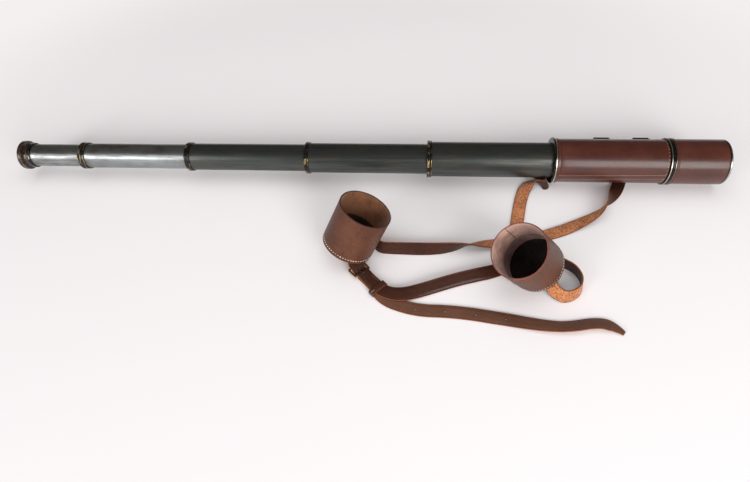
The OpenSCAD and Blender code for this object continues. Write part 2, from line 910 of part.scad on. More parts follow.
// Leather bridge under the base for the strap to pass through
module cap_keeper() {
    half_w = tunnel_w / 2;
    color(leather)
        translate([0, cap_keeper_len / 2, 0])
            rotate([90, 0, 0])
                linear_extrude(cap_keeper_len)
                    polygon([
                        [-half_w - keeper_foot, 0],
                        [-half_w - keeper_foot, -keeper_t],
                        [-half_w - keeper_t, -keeper_t],
                        [-half_w - keeper_t, -tunnel_h - keeper_t / 2],
                        [-half_w - keeper_t / 2, -tunnel_h - keeper_t],
                        [half_w + keeper_t / 2, -tunnel_h - keeper_t],
                        [half_w + keeper_t, -tunnel_h - keeper_t / 2],
                        [half_w + keeper_t, -keeper_t],
                        [half_w + keeper_foot, -keeper_t],
                        [half_w + keeper_foot, 0],
                        [half_w, 0],
                        [half_w, -tunnel_h],
                        [-half_w, -tunnel_h],
                        [-half_w, 0]
                    ]);
}

module objective_cap_wall() {
    cap_place(cap_a_xy, cap_a_tilt, cap_a_azimuth) cap_wall();
}

module objective_cap_lining() {
    cap_place(cap_a_xy, cap_a_tilt, cap_a_azimuth) cap_lining();
}

module objective_cap_base() {
    cap_place(cap_a_xy, cap_a_tilt, cap_a_azimuth) cap_base();
}

module objective_cap_keeper() {
    cap_place(cap_a_xy, cap_a_tilt, cap_a_azimuth) cap_keeper();
}

module eyepiece_cap_wall() {
    cap_place(cap_b_xy, cap_b_tilt, cap_b_azimuth) cap_wall();
}

module eyepiece_cap_lining() {
    cap_place(cap_b_xy, cap_b_tilt, cap_b_azimuth) cap_lining();
}

module eyepiece_cap_base() {
    cap_place(cap_b_xy, cap_b_tilt, cap_b_azimuth) cap_base();
}

module eyepiece_cap_keeper() {
    cap_place(cap_b_xy, cap_b_tilt, cap_b_azimuth) cap_keeper();
}

// Puts the buckle's bar over the origin, with the chape towards +X
module buckle_place() {
    placed()
        translate([buckle_xy[0], buckle_xy[1], 0])
            rotate([0, 0, buckle_azimuth])
                children();
}

module sling_strap() {
    slot_l = 7.5;
    slot_w = tongue_d + 1;
    color(leather)
        difference() {
            placed()
                polyhedron(points = strap_points, faces = strap_faces);
            placed()
                for (p = hole_places)
                    translate([p[0], p[1], -cut])
                        cylinder(d = strap_hole_d, h = 4 * strap_t, $fn = 24);
            buckle_place()
                translate([tongue_slot_s - slot_l / 2, -slot_w / 2, -cut])
                    cube([slot_l, slot_w, 12]);
        }
}

module buckle_chape() {
    slope_l = 10;
    slot_w = tongue_d + 1;
    top_z = bar_z + chape_r;
    color(leather)
        buckle_place()
            difference() {
                translate([0, strap_w / 2, 0])
                    rotate([90, 0, 0])
                        linear_extrude(strap_w)
                            union() {
                                intersection() {
                                    difference() {
                                        translate([0, bar_z])
                                            circle(r = chape_r);
                                        translate([0, bar_z])
                                            circle(r = chape_r - strap_t);
                                    }
                                    translate([-2 * chape_r, 0])
                                        square([2 * chape_r, 2 * top_z]);
                                }
                                translate([0, chape_z])
                                    square([chape_fold_len, strap_t]);
                                polygon([
                                    [0, top_z],
                                    [0, top_z - strap_t],
                                    [slope_l, chape_top_z],
                                    [chape_len, chape_top_z],
                                    [chape_len, chape_top_z + strap_t],
                                    [slope_l, chape_top_z + strap_t]
                                ]);
                            }
                translate([-2 * chape_r, -slot_w / 2, 0])
                    cube([4 * chape_r, slot_w, 2 * top_z]);
            }
}

module rod(from, to, d) {
    v = to - from;
    translate(from)
        rotate([0, acos(v[2] / norm(v)), atan2(v[1], v[0])])
            cylinder(d = d, h = norm(v), $fn = 32);
}

module buckle_frame() {
    corners = [
        [0, -frame_y, bar_z], [-buckle_len, -frame_y, bar_z],
        [-buckle_len, frame_y, bar_z], [0, frame_y, bar_z]
    ];
    color(brass)
        buckle_place() {
            for (i = [0:2])
                rod(corners[i], corners[i + 1], buckle_wire_d);
            rod(corners[3], corners[0], buckle_bar_d);
            for (p = corners)
                translate(p)
                    sphere(d = buckle_wire_d, $fn = 32);
        }
}

module buckle_tongue() {
    eye_r = buckle_bar_d / 2 + slide_clearance;
    reach = buckle_len + 0.6;
    root = [-eye_r, 0, bar_z - 0.6];
    tip = [-reach, 0, bar_z - buckle_wire_d / 2 - tongue_d / 2 - 0.1];
    color(brass)
        buckle_place()
            difference() {
                union() {
                    translate([0, tongue_d / 2, bar_z])
                        rotate([90, 0, 0])
                            cylinder(r = eye_r + 1, h = tongue_d, $fn = 32);
                    rod(root, tip, tongue_d);
                }
                translate([0, frame_y, bar_z])
                    rotate([90, 0, 0])
                        cylinder(r = eye_r, h = 2 * frame_y, $fn = 32);
            }
}

module tail_keeper() {
    low_y = -12.4;
    high_y = strap_w / 2 + 1.6;
    inner_z = 1.1;
    top_z = chape_top_z + strap_t + keeper_clearance;
    band_t = 1.2;
    color(leather)
        buckle_place()
            translate([tail_keeper_s - tail_keeper_len / 2, 0, 0])
                difference() {
                    translate([0, low_y - band_t, strap_lift])
                        cube([tail_keeper_len, high_y - low_y + 2 * band_t, top_z + band_t - strap_lift]);
                    translate([-cut, low_y, inner_z])
                        cube([tail_keeper_len + 2 * cut, high_y - low_y, top_z - inner_z]);
                }
}

echo(strap_length = strap_length);

eyecup();
eyepiece_cell();
eye_lens();
field_stop();
field_lens();
draw_1_tube();
draw_1_stop_ring();
erector_tube();
erector_rear_lens();
erector_stop();
erector_front_lens();
draw_2_tube();
draw_2_collar();
draw_2_bush();
draw_2_stop_ring();
draw_3_tube();
draw_3_collar();
draw_3_bush();
draw_3_stop_ring();
draw_4_tube();
draw_4_collar();
draw_4_bush();
draw_4_stop_ring();
draw_5_tube();
draw_5_collar();
draw_5_bush();
draw_5_stop_ring();
barrel_tube();
barrel_leather();
barrel_rear_collar();
barrel_bush();
barrel_front_ring();
barrel_rear_keeper();
barrel_front_keeper();
objective_cell();
objective_flint_lens();
objective_spacer();
objective_crown_lens();
objective_retaining_ring();
sunshade_tube();
sunshade_leather();
sunshade_rear_ring();
sunshade_front_ring();
objective_cap_wall();
objective_cap_lining();
objective_cap_base();
objective_cap_keeper();
eyepiece_cap_wall();
eyepiece_cap_lining();
eyepiece_cap_base();
eyepiece_cap_keeper();
sling_strap();
buckle_chape();
buckle_frame();
buckle_tongue();
tail_keeper();
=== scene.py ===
"""Visible pieces and finishes of a five-draw stalking telescope with caps and a sling.

Everything is built in metres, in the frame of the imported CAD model. The telescope's axis
runs along X with the eyepiece at low X; places along it are given from the barrel's rear end.
"""

import math

import bmesh
import bpy
from bpy.props import FloatProperty, FloatVectorProperty, PointerProperty
from mathutils import Matrix, Vector


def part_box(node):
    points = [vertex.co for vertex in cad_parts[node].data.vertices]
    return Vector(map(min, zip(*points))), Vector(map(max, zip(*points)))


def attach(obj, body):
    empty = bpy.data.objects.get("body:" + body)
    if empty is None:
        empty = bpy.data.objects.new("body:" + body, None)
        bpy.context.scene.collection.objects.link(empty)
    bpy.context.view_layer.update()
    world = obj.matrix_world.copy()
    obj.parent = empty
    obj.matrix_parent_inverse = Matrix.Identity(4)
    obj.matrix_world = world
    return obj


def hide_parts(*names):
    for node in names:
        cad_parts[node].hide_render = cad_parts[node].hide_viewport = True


bl_info = {
    "name": "Stalking Telescope Looks",
    "version": (1, 0, 0),
    "blender": (4, 5, 0),
    "location": "3D View > Sidebar > Telescope",
    "description": "Builds the visible pieces and finishes of a five-draw stalking telescope",
    "category": "Object",
}

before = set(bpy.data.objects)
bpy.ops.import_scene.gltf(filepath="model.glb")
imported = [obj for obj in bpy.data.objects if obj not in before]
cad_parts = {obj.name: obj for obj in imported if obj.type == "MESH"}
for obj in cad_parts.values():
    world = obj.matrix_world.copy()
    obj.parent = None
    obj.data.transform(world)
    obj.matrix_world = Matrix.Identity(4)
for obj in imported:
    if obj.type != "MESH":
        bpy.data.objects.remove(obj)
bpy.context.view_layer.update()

TUBE_LOW, TUBE_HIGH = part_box("barrel_tube")
ORIGIN = Vector((TUBE_LOW.x, (TUBE_LOW.y + TUBE_HIGH.y) / 2, 0.0))
AXIS_Z = (TUBE_LOW.z + TUBE_HIGH.z) / 2
# Turns a piece that stands on Z to run along the telescope's axis
AXIS = Matrix.Translation((ORIGIN.x, ORIGIN.y, AXIS_Z)) @ Matrix.Rotation(math.pi / 2, 4, "Y")

# Places along the barrel and radii about the axis
DRAW_R = (0.0163, 0.0179, 0.0193, 0.02115, 0.0244)
REAR_X = (-0.765, -0.688, -0.524, -0.347, -0.172)
COLLAR_LEN = (0.0, 0.009, 0.0065, 0.005, 0.0055)
BARREL_R = 0.0284
LEATHER_R = 0.030
RING_R = 0.0321
SHADE_TUBE_R = 0.02905
SHADE_R = 0.03055

# Caps: centre of the base, lean from upright, direction of the lean
CAP_BORE_R = 0.0323
CAP_WALL_R = 0.0329
CAP_R = 0.0344
CAP_LEN = 0.064
CAP_BASE = 0.0022
CAPS = {
    "objective_cap": ((-0.2748, -0.1454), 27.9, 26.7),
    "eyepiece_cap": ((-0.0365, -0.1721), 34.6, 211.0),
}

# Buckle: its bar's middle and the direction from the bar towards the strap
BUCKLE_XY = (-0.252, -0.182)
BUCKLE_TURN = math.radians(-45)

# Barrel keepers: place of each along the barrel, and their turn up from its far side
KEEPER_X = {"rear": 0.0705, "front": 0.124}
KEEPER_TURN = math.radians(8)

# Height of the bar that the buckle's tongue turns on
BAR_Z = 0.0051

# Strap end folded round the bar: its length and the height of its upper face
CHAPE_LEN = 0.024
CHAPE_TOP = 0.0038

# Strap: x, y, height of the lowest edge, turn of the grain side from upwards in degrees
ROUTE = (
    (
        BUCKLE_XY[0] + CHAPE_LEN * math.cos(BUCKLE_TURN),
        BUCKLE_XY[1] + CHAPE_LEN * math.sin(BUCKLE_TURN),
        CHAPE_TOP,
        0,
    ),
    (-0.2304, -0.2033, 0.00375, 0), (-0.2225, -0.2082, 0.0032, -3), (-0.211, -0.2113, 0.0025, -8),
    (-0.196, -0.211, 0.0023, -15), (-0.182, -0.207, 0.001, -25), (-0.165, -0.2005, 0.0001, -32),
    (-0.147, -0.1935, 0.0001, -34), (-0.128, -0.1865, 0.0001, -34), (-0.109, -0.1805, 0.0001, -32),
    (-0.092, -0.1745, 0.0001, -20), (-0.078, -0.168, 0.0001, -7), (-0.066, -0.1616, 0.0001, -1),
    (-0.053, -0.1575, 0.0001, -8), (-0.04, -0.1555, 0.0001, -22), (-0.026, -0.1555, 0.0001, -45),
    (-0.012, -0.1575, 0.0001, -70), (0.001, -0.1615, 0.0001, -88), (0.011, -0.1685, 0.0001, -92),
    (0.017, -0.1785, 0.0001, -95), (0.0185, -0.19, 0.0001, -98), (0.014, -0.201, 0.0001, -102),
    (0.004, -0.2085, 0.0001, -108), (-0.007, -0.21, 0.0003, -115), (-0.017, -0.2035, 0.0035, -126),
    (-0.023, -0.1935, 0.0095, -139), (-0.0277, -0.1854, 0.0123, -145.4),
    (-0.0318, -0.1785, 0.0126, -145.4), (-0.0359, -0.1717, 0.0127, -145.4),
    (-0.04, -0.1649, 0.0126, -145.4), (-0.0441, -0.158, 0.012, -145.4),
    (-0.049, -0.147, 0.009, -156), (-0.0525, -0.134, 0.0052, -171), (-0.054, -0.12, 0.0027, -180),
    (-0.053, -0.106, 0.0023, -180), (-0.05, -0.09, 0.0004, -180), (-0.046, -0.07, 0.0001, -180),
    (-0.0422, -0.053, 0.0001, -180), (-0.0385, -0.04, 0.0001, -179),
    (-0.0345, -0.0295, 0.0001, -174), (-0.028, -0.021, 0.0001, -162),
    (-0.0205, -0.018, 0.0001, -143), (-0.0145, -0.0194, 0.0001, -122),
    (-0.0102, -0.024, 0.0001, -103), (-0.0064, -0.0257, 0.0001, -88),
    (-0.0045, -0.0239, 0.0001, -72), (-0.0059, -0.0194, 0.0001, -47),
    (-0.0089, -0.0133, 0.0001, -27), (-0.0111, -0.0065, 0.0001, -12), (-0.0115, 0.002, 0.0001, -2),
    (-0.0115, 0.014, 0.0001, 2), (-0.01, 0.025, 0.001, 18), (-0.0035, 0.034, 0.003, 48),
    (0.008, 0.0385, 0.008, 75), (0.021, 0.038, 0.014, 88), (0.034, 0.0344, 0.0215, 87),
    (0.046, 0.0316, 0.0266, 83), (0.058, 0.031, 0.0274, 82), (0.084, 0.031, 0.0274, 82),
    (0.11, 0.031, 0.0274, 82), (0.138, 0.031, 0.0274, 82), (0.148, 0.0333, 0.0256, 84),
    (0.16, 0.0346, 0.022, 88), (0.172, 0.0348, 0.016, 90), (0.184, 0.034, 0.01, 90),
    (0.195, 0.0328, 0.004, 90), (0.205, 0.0318, 0.0006, 90), (0.213, 0.0335, 0.0001, 90),
    (0.217, 0.039, 0.0001, 90), (0.213, 0.0445, 0.0001, 90), (0.203, 0.0465, 0.0001, 90),
    (0.185, 0.045, 0.0001, 90), (0.163, 0.042, 0.0001, 90), (0.143, 0.038, 0.0001, 88),
    (0.128, 0.0315, 0.0001, 72), (0.117, 0.0215, 0.0001, 35), (0.108, 0.01, 0.0001, 3),
    (0.103, -0.002, 0.0001, 0), (0.0985, -0.014, 0.0001, 0), (0.0922, -0.0274, 0.0001, 12),
    (0.0847, -0.0393, 0.0001, 34), (0.0775, -0.0497, 0.0001, 66), (0.0708, -0.0596, 0.0001, 98),
    (0.0638, -0.0686, 0.0001, 122), (0.055, -0.0765, 0.0001, 143), (0.043, -0.0842, 0.0001, 159),
    (0.028, -0.0923, 0.0001, 171), (0.01, -0.101, 0.0001, 180), (-0.008, -0.1085, 0.0001, 180),
    (-0.026, -0.115, 0.0001, 180), (-0.043, -0.1205, 0.0001, 180), (-0.06, -0.1245, 0.0001, 180),
    (-0.076, -0.1275, 0.0001, 178), (-0.089, -0.129, 0.0001, 163), (-0.1005, -0.1312, 0.0001, 152),
    (-0.1105, -0.1334, 0.0001, 137), (-0.119, -0.1354, 0.0001, 120), (-0.128, -0.1376, 0.0001, 102),
    (-0.14, -0.1402, 0.0001, 84), (-0.155, -0.1422, 0.0001, 69), (-0.171, -0.143, 0.0001, 60),
    (-0.188, -0.1433, 0.0001, 58), (-0.205, -0.1434, 0.0001, 62), (-0.22, -0.1434, 0.0001, 65),
    (-0.23, -0.1426, 0.0001, 67), (-0.2362, -0.138, 0.0001, 68), (-0.239, -0.1295, 0.0001, 70),
    (-0.241, -0.1185, 0.0001, 76), (-0.2455, -0.1085, 0.0001, 83), (-0.249, -0.102, 0.0001, 90),
    (-0.262, -0.098, 0.0001, 90), (-0.275, -0.1005, 0.0001, 84), (-0.2835, -0.1095, 0.0001, 62),
    (-0.2853, -0.1205, 0.0036, 38), (-0.2825, -0.1314, 0.0096, 27.9),
    (-0.2789, -0.1385, 0.00995, 27.9), (-0.2753, -0.1457, 0.01, 27.9),
    (-0.2717, -0.1529, 0.01, 27.9), (-0.2681, -0.16, 0.00975, 27.9), (-0.2654, -0.1656, 0.0089, 15),
    (-0.263, -0.1704, 0.0076, 0), (-0.259, -0.1748, 0.0049, 0), (-0.2555, -0.1785, 0.0019, 0),
    (-0.252, -0.182, 0.0001, 0), (-0.2463, -0.1877, 0.0001, 0), (-0.2421, -0.1919, 0.0002, 0),
    (-0.2379, -0.1964, 0.0008, 0), (-0.2334, -0.2029, 0.0015, 0), (-0.2293, -0.2098, 0.0015, 0),
    (-0.2225, -0.2165, 0.0006, 0), (-0.2135, -0.2218, 0.0001, 0), (-0.203, -0.2257, 0.0001, 0),
    (-0.189, -0.2295, 0.0001, 0), (-0.171, -0.2318, 0.0001, 0), (-0.153, -0.232, 0.0001, 0),
    (-0.133, -0.233, 0.0001, 0), (-0.113, -0.235, 0.0001, 0), (-0.093, -0.238, 0.0001, 0),
    (-0.073, -0.241, 0.0001, 2), (-0.053, -0.2445, 0.0001, 6), (-0.033, -0.2475, 0.0001, 12),
    (-0.014, -0.2488, 0.0001, 18), (0.003, -0.2472, 0.0001, 20), (0.018, -0.2442, 0.0001, 20),
    (0.031, -0.243, 0.0001, 19), (0.042, -0.2446, 0.0001, 14), (0.0505, -0.2489, 0.0001, 9),
    (0.0574, -0.254, 0.0002, 4),
)
HOLES = ((-0.184, -0.2302), (-0.148, -0.2322), (-0.111, -0.2353), (-0.076, -0.2405))


# ---- what a user may change ---------------------------------------------------------------


def colour(name, description, value):
    return FloatVectorProperty(
        name=name, description=description, default=value, size=3, min=0, max=1, subtype="COLOR"
    )


def length(name, description, value):
    return FloatProperty(
        name=name, description=description, default=value, min=0, precision=5, unit="LENGTH"
    )


class TelescopeStage(bpy.types.PropertyGroup):
    camera_place: FloatVectorProperty(
        name="Camera place",
        description="Where the camera stands",
        default=(0.09711, -0.464063, 0.573),
        size=3,
        subtype="TRANSLATION",
        unit="LENGTH",
    )
    camera_turn: FloatVectorProperty(
        name="Camera turn",
        description="Yaw to the left, pitch down and roll of the camera",
        default=(math.radians(-7.813), math.radians(52.021), math.radians(-4.843)),
        size=3,
        subtype="EULER",
        unit="ROTATION",
    )
    lens: FloatProperty(
        name="Lens", description="Focal length in millimetres", default=25.88, min=10
    )
    floor: colour("Floor", "Colour of the floor", (0.905, 0.868, 0.87))
    surround: colour("Surround", "Light that comes from all round", (0.27, 0.268, 0.272))
    room: colour("Room", "What polished surfaces mirror", (0.115, 0.098, 0.085))
    plain_from: length("Plain from", "Distance at which the floor starts to turn plain", 0.54)
    plain_to: length("Plain to", "Distance at which the floor is as plain as the backdrop", 0.96)
    key_power: FloatProperty(
        name="Window", description="Power of the wide window light", default=44.0, unit="POWER"
    )
    top_power: FloatProperty(
        name="Ceiling", description="Power of the soft light overhead", default=21.0, unit="POWER"
    )
    box_power: FloatProperty(
        name="Soft boxes",
        description="Power of each lamp that polish mirrors",
        default=32.0,
        unit="POWER",
    )


class TelescopeMetal(bpy.types.PropertyGroup):
    nickel: colour("Nickel", "Bright metal of the first two draws", (0.36, 0.385, 0.39))
    gunmetal: colour("Gunmetal", "Darkened metal of the other draws", (0.085, 0.097, 0.092))
    lacquer: colour("Lacquer", "Black finish of the collars and rings", (0.009, 0.0085, 0.008))
    bronze: colour("Bronze", "Brown finish of the eyecup", (0.055, 0.038, 0.028))
    line: colour("Line", "Polished line on the barrel's rings", (0.80, 0.74, 0.60))
    brass: colour("Brass", "Brass where a finish is worn through", (0.60, 0.43, 0.17))


class TelescopeLeather(bpy.types.PropertyGroup):
    barrel: colour("Barrel", "Leather of the barrel and the sunshade", (0.078, 0.019, 0.011))
    cap: colour("Caps", "Leather of the caps", (0.118, 0.043, 0.023))
    strap: colour("Strap", "Grain side of the strap", (0.056, 0.018, 0.010))
    # Painted light: the tail's colour is a paler, lit copy of the strap's grain
    tail: colour("Tail", "Painted-light grain of the strap's tail", (0.145, 0.063, 0.038))
    edge: colour("Cut edge", "Cut edges of the strap", (0.26, 0.085, 0.035))
    flesh: colour("Flesh side", "Rough side of the strap", (0.62, 0.245, 0.10))
    black: colour("Black", "Leather of the barrel's keepers", (0.008, 0.006, 0.006))
    suede: colour("Suede", "Lining of the objective cap", (0.205, 0.088, 0.043))
    lining: colour("Lining", "Lining of the eyepiece cap", (0.44, 0.26, 0.205))
    thread: colour("Thread", "Waxed thread of the caps", (0.92, 0.84, 0.68))
    barrel_thread: colour("Barrel thread", "Thread of the barrel's seams", (0.55, 0.36, 0.25))
    brown_thread: colour("Brown thread", "Thread of the buckle's chape", (0.25, 0.12, 0.07))
    pitch: length("Stitch pitch", "Length from one stitch to the next", 0.0036)
    ring_pitch: length("Ring pitch", "Pitch of the stitches round the barrel's front", 0.0050)
    fine_pitch: length("Barrel pitch", "Length from one stitch to the next on the barrel", 0.0032)
    stitch: length("Stitch length", "Length of a stitch", 0.0021)
    thread_d: length("Thread size", "Thickness of the thread", 0.0007)


class TelescopeSling(bpy.types.PropertyGroup):
    width: length("Width", "Width of the strap", 0.0175)
    thickness: length("Thickness", "Thickness of the strap", 0.0017)
    tip: length("Tip", "Length of the pointed tip", 0.020)
    crease: length("Crease", "Depth of the lines pressed along the edges", 0.00018)
    hole: length("Hole", "Diameter of the adjusting holes", 0.0026)
    # Where the painted light on the strap's tail begins
    painted_light_from: length("Painted-light from", "Length along the strap where its tail turns paler", 1.53)


# ---- meshes -------------------------------------------------------------------------------


def piece(bm, name, body, materials, replaces=(), sharp=38):
    """Makes an object of a finished mesh, parents it to the body it rides on and hides the CAD
    nodes it replaces.
    """
    mesh = bpy.data.meshes.new(name)
    bm.to_mesh(mesh)
    bm.free()
    for material in materials:
        mesh.materials.append(material)
    mesh.shade_smooth()
    mesh.set_sharp_from_angle(angle=math.radians(sharp))
    obj = bpy.data.objects.new(name, mesh)
    bpy.context.scene.collection.objects.link(obj)
    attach(obj, body)
    if replaces:
        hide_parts(*replaces)
    return obj


def lathe(outline, place, steps=96, soften=0.0002, closed=True, worn=(), seam=0.0, twist=0.0):
    """Spins an outline of (radius, height) points about the place's own Z axis.

    UVs are metres round from the seam and metres along. Where the outline is worn, an
    attribute holds how near a point is to a worn corner.
    """
    bm = bmesh.new()
    verts = [bm.verts.new((r, 0, z)) for r, z in outline]
    pairs = list(zip(verts, verts[1:]))
    if closed:
        pairs.append((verts[-1], verts[0]))
    for pair in pairs:
        bm.edges.new(pair)
    if soften:
        corners = [v for v in verts if len(v.link_edges) == 2]
        bmesh.ops.bevel(
            bm,
            geom=corners,
            affect="VERTICES",
            offset=soften,
            segments=3,
            profile=0.5,
            material=-1,
            clamp_overlap=True,
        )
    # Long straights are cut near their ends, so that wear stays at the corners
    for edge in list(bm.edges):
        reach = edge.calc_length()
        if reach > 0.0030:
            bmesh.ops.subdivide_edges(bm, edges=[edge], cuts=max(2, min(24, int(reach / 0.0012))))
    bmesh.ops.spin(
        bm,
        geom=bm.verts[:] + bm.edges[:],
        cent=(0, 0, 0),
        axis=(0, 0, 1),
        angle=2 * math.pi,
        steps=steps,
        use_merge=True,
    )
    bmesh.ops.remove_doubles(bm, verts=bm.verts, dist=1e-6)
    bmesh.ops.recalc_face_normals(bm, faces=bm.faces)
    wear = bm.verts.layers.float.new("wear")
    for vert in bm.verts:
        spot = Vector((vert.co.xy.length, vert.co.z))
        near = min(((spot - Vector(w)).length for w in worn), default=1.0)
        vert[wear] = max(0.0, 1.0 - near / 0.0007)
    reach = max(r for r, z in outline)
    uv = bm.loops.layers.uv.new("surface")
    for face in bm.faces:
        middle = face.calc_center_median()
        base = math.atan2(middle.y, middle.x)
        turned = (base - seam - twist * middle.z + math.pi) % (2 * math.pi) - math.pi
        for loop in face.loops:
            co = loop.vert.co
            step = math.atan2(co.y, co.x) - base if co.xy.length > 1e-6 else 0.0
            step = (step + math.pi) % (2 * math.pi) - math.pi
            loop[uv].uv = ((turned + step - twist * (co.z - middle.z)) * reach, co.z)
    bmesh.ops.transform(bm, matrix=place, verts=bm.verts)
    return bm


def paint(bm, place, rule):
    """Gives each face the material number that rule(radius, height, normal) names."""
    back = place.inverted()
    turn = back.to_3x3()
    for face in bm.faces:
        spot = back @ face.calc_center_median()
        out = turn @ face.normal
        radial = Vector((spot.x, spot.y, 0)).normalized()
        face.material_index = rule(spot.xy.length, spot.z, out.dot(radial))


def mill(bm, place, low, high, radius, depth):
    """Presses a milled grip into the band of a turned ring."""
    back = place.inverted()
    columns = {}
    for vert in bm.verts:
        spot = back @ vert.co
        if low < spot.z < high and spot.xy.length > radius - 0.00005:
            columns.setdefault(round(math.degrees(math.atan2(spot.y, spot.x)), 2), []).append(vert)
    for number, angle in enumerate(sorted(columns)):
        if number % 2:
            for vert in columns[angle]:
                spot = back @ vert.co
                spot.xy *= 1 - depth / radius
                vert.co = place @ spot


def strap_section(width, thickness, crease=0.0, round_off=0.00045):
    """Section of a leather strap: (across, up, material), grain side up, flesh side down."""
    w, h = width / 2, thickness / 2
    grain = [(-w + round_off, h)]
    if crease:
        grain += [(-w + 0.0014, h), (-w + 0.0017, h - crease), (-w + 0.0020, h)]
        grain += [(-w / 3, h), (w / 3, h)]
        grain += [(w - 0.0020, h), (w - 0.0017, h - crease), (w - 0.0014, h)]
    grain.append((w - round_off, h))
    section = [(x, y, 0) for x, y in grain]
    c = round_off * 0.3
    section[-1] = (*grain[-1], 2)
    section += [(w - c, h - c, 2), (w, h - round_off, 2)]
    section += [(w, -h + round_off, 2), (w - c, -h + c, 2)]
    section += [(w - round_off, -h, 1), (w / 3, -h, 1), (-w / 3, -h, 1), (-w + round_off, -h, 2)]
    section += [(-w + c, -h + c, 2), (-w, -h + round_off, 2), (-w, h - round_off, 2)]
    section.append((-w + c, h - c, 2))
    return section


def band(bm, frames, section, closed=False):
    """Extrudes a section frame by frame along (centre, side, up, wide, high) frames.

    UVs are metres along the band and metres across it.
    """
    uv = bm.loops.layers.uv.verify()

    def places(number):
        centre, side, up, wide, high = frames[number]
        return [centre + side * (x * wide) + up * (y * high) for x, y, _ in section]

    verts = [bm.verts.new(p) for p in places(0)]
    ring = [bm.edges.new(pair) for pair in zip(verts, verts[1:] + verts[:1])]
    first_ring = ring
    gone = 0.0
    for number in range(1, len(frames)):
        step = (frames[number][0] - frames[number - 1][0]).length
        made = set(
            e
            for e in bmesh.ops.extrude_edge_only(bm, edges=ring)["geom"]
            if isinstance(e, bmesh.types.BMVert)
        )
        new = []
        for vert, target in zip(verts, places(number)):
            grown = next(e.other_vert(vert) for e in vert.link_edges if e.other_vert(vert) in made)
            grown.co = target
            new.append(grown)
        ring = []
        old = set(verts)
        for k, pair in enumerate(zip(new, new[1:] + new[:1])):
            edge = bm.edges.get(pair)
            ring.append(edge)
            face = edge.link_faces[0]
            face.material_index = section[k][2]
            for loop in face.loops:
                on = loop.vert
                index = verts.index(on) if on in old else new.index(on)
                loop[uv].uv = (gone if on in old else gone + step, section[index][0])
        verts = new
        gone += step
    if closed:
        joined = bmesh.ops.bridge_loops(bm, edges=first_ring + ring)["faces"]
        for face in joined:
            face.material_index = 0
    else:
        for loop_edges in (first_ring, ring):
            cap = bmesh.ops.contextual_create(bm, geom=loop_edges, mat_nr=2)["faces"]
            for face in cap:
                face.material_index = 2
    bmesh.ops.recalc_face_normals(bm, faces=bm.faces)


def filleted(points, radius, closed=False, steps=4):
    """Rounds the corners of a flat path of (x, y) points."""
    points = [Vector(p) for p in points]
    path = []
    count = len(points)
    for k, p in enumerate(points):
        if not closed and k in (0, count - 1):
            path.append(p)
            continue
        before, after = points[k - 1], points[(k + 1) % count]
        cut = min(radius, (before - p).length * 0.45, (after - p).length * 0.45)
        a = p + (before - p).normalized() * cut
        b = p + (after - p).normalized() * cut
        for j in range(steps + 1):
            t = j / steps
            path.append(a * (1 - t) ** 2 + p * (2 * t * (1 - t)) + b * t**2)
    return path


def path_frames(path, place, closed=False, flip=False, high=None):
    """Frames for a band whose path lies in the place's XY plane, as wide as its Z."""
    side = (place.to_3x3() @ Vector((0, 0, 1))).normalized()
    frames = []
    count = len(path)
    for k, p in enumerate(path):
        before = path[k - 1] if closed or k else p
        after = path[(k + 1) % count] if closed or k < count - 1 else p
        along = place.to_3x3() @ (after - before).to_3d().normalized()
        up = side.cross(along) * (-1 if flip else 1)
        frames.append((place @ p.to_3d(), side, up, 1.0, high(k) if high else 1.0))
    return frames


def stitches(marks, looks, name, body, material, swell=1.0, reach=1.0):
    """Sews a thread bead at each (place, along, out) mark."""
    bm = bmesh.new()
    size = Vector((looks.thread_d * 0.5, looks.thread_d * 0.36, looks.stitch / 2 * reach)) * swell
    for place, along, out in marks:
        along = along.normalized()
        cross = out.cross(along).normalized()
        turn = Matrix((cross, along.cross(cross), along)).transposed().to_4x4()
        matrix = Matrix.Translation(place) @ turn @ Matrix.Diagonal((*size, 1))
        bmesh.ops.create_uvsphere(bm, u_segments=6, v_segments=5, radius=1, matrix=matrix)
    return piece(bm, name, body, [material], sharp=80)


def axis_mark(x, angle, radius, round_ring=False):
    """A stitch mark on the telescope, its angle measured up from the camera's side."""
    out = Vector((0, -math.cos(angle), math.sin(angle)))
    place = Vector((ORIGIN.x + x, ORIGIN.y, AXIS_Z)) + out * radius
    along = Vector((1, 0, 0)).cross(out) if round_ring else Vector((1, 0, 0))
    return place, along, out


def ring_marks(place, radius, height, pitch, start=0.0, end=2 * math.pi):
    """Stitch marks round a turned piece at a height on its own axis."""
    count = max(2, round((end - start) * radius / pitch))
    marks = []
    for k in range(count):
        a = start + (end - start) * k / count
        out = Vector((math.cos(a), math.sin(a), 0))
        along = Vector((-math.sin(a), math.cos(a), 0))
        turn = place.to_3x3()
        marks.append((place @ (out * radius + Vector((0, 0, height))), turn @ along, turn @ out))
    return marks


def cap_place(name):
    (x, y), tilt, turn = CAPS[name]
    tilt, turn = math.radians(tilt), math.radians(turn)
    foot = Vector((ORIGIN.x + x, ORIGIN.y + y, CAP_R * math.sin(tilt)))
    lean = Matrix.Rotation(turn, 4, "Z") @ Matrix.Rotation(tilt, 4, "Y")
    return Matrix.Translation(foot) @ lean


def buckle_place():
    """The bar's middle on the floor, X along the strap away from the frame, Z up."""
    foot = Vector((ORIGIN.x + BUCKLE_XY[0], ORIGIN.y + BUCKLE_XY[1], 0))
    return Matrix.Translation(foot) @ Matrix.Rotation(BUCKLE_TURN, 4, "Z")


def upright(place):
    """Turns a place so that a path in (X, Z) can be drawn as (X, Y)."""
    return place @ Matrix(((1, 0, 0, 0), (0, 0, -1, 0), (0, 1, 0, 0), (0, 0, 0, 1)))


# ---- node building ------------------------------------------------------------------------


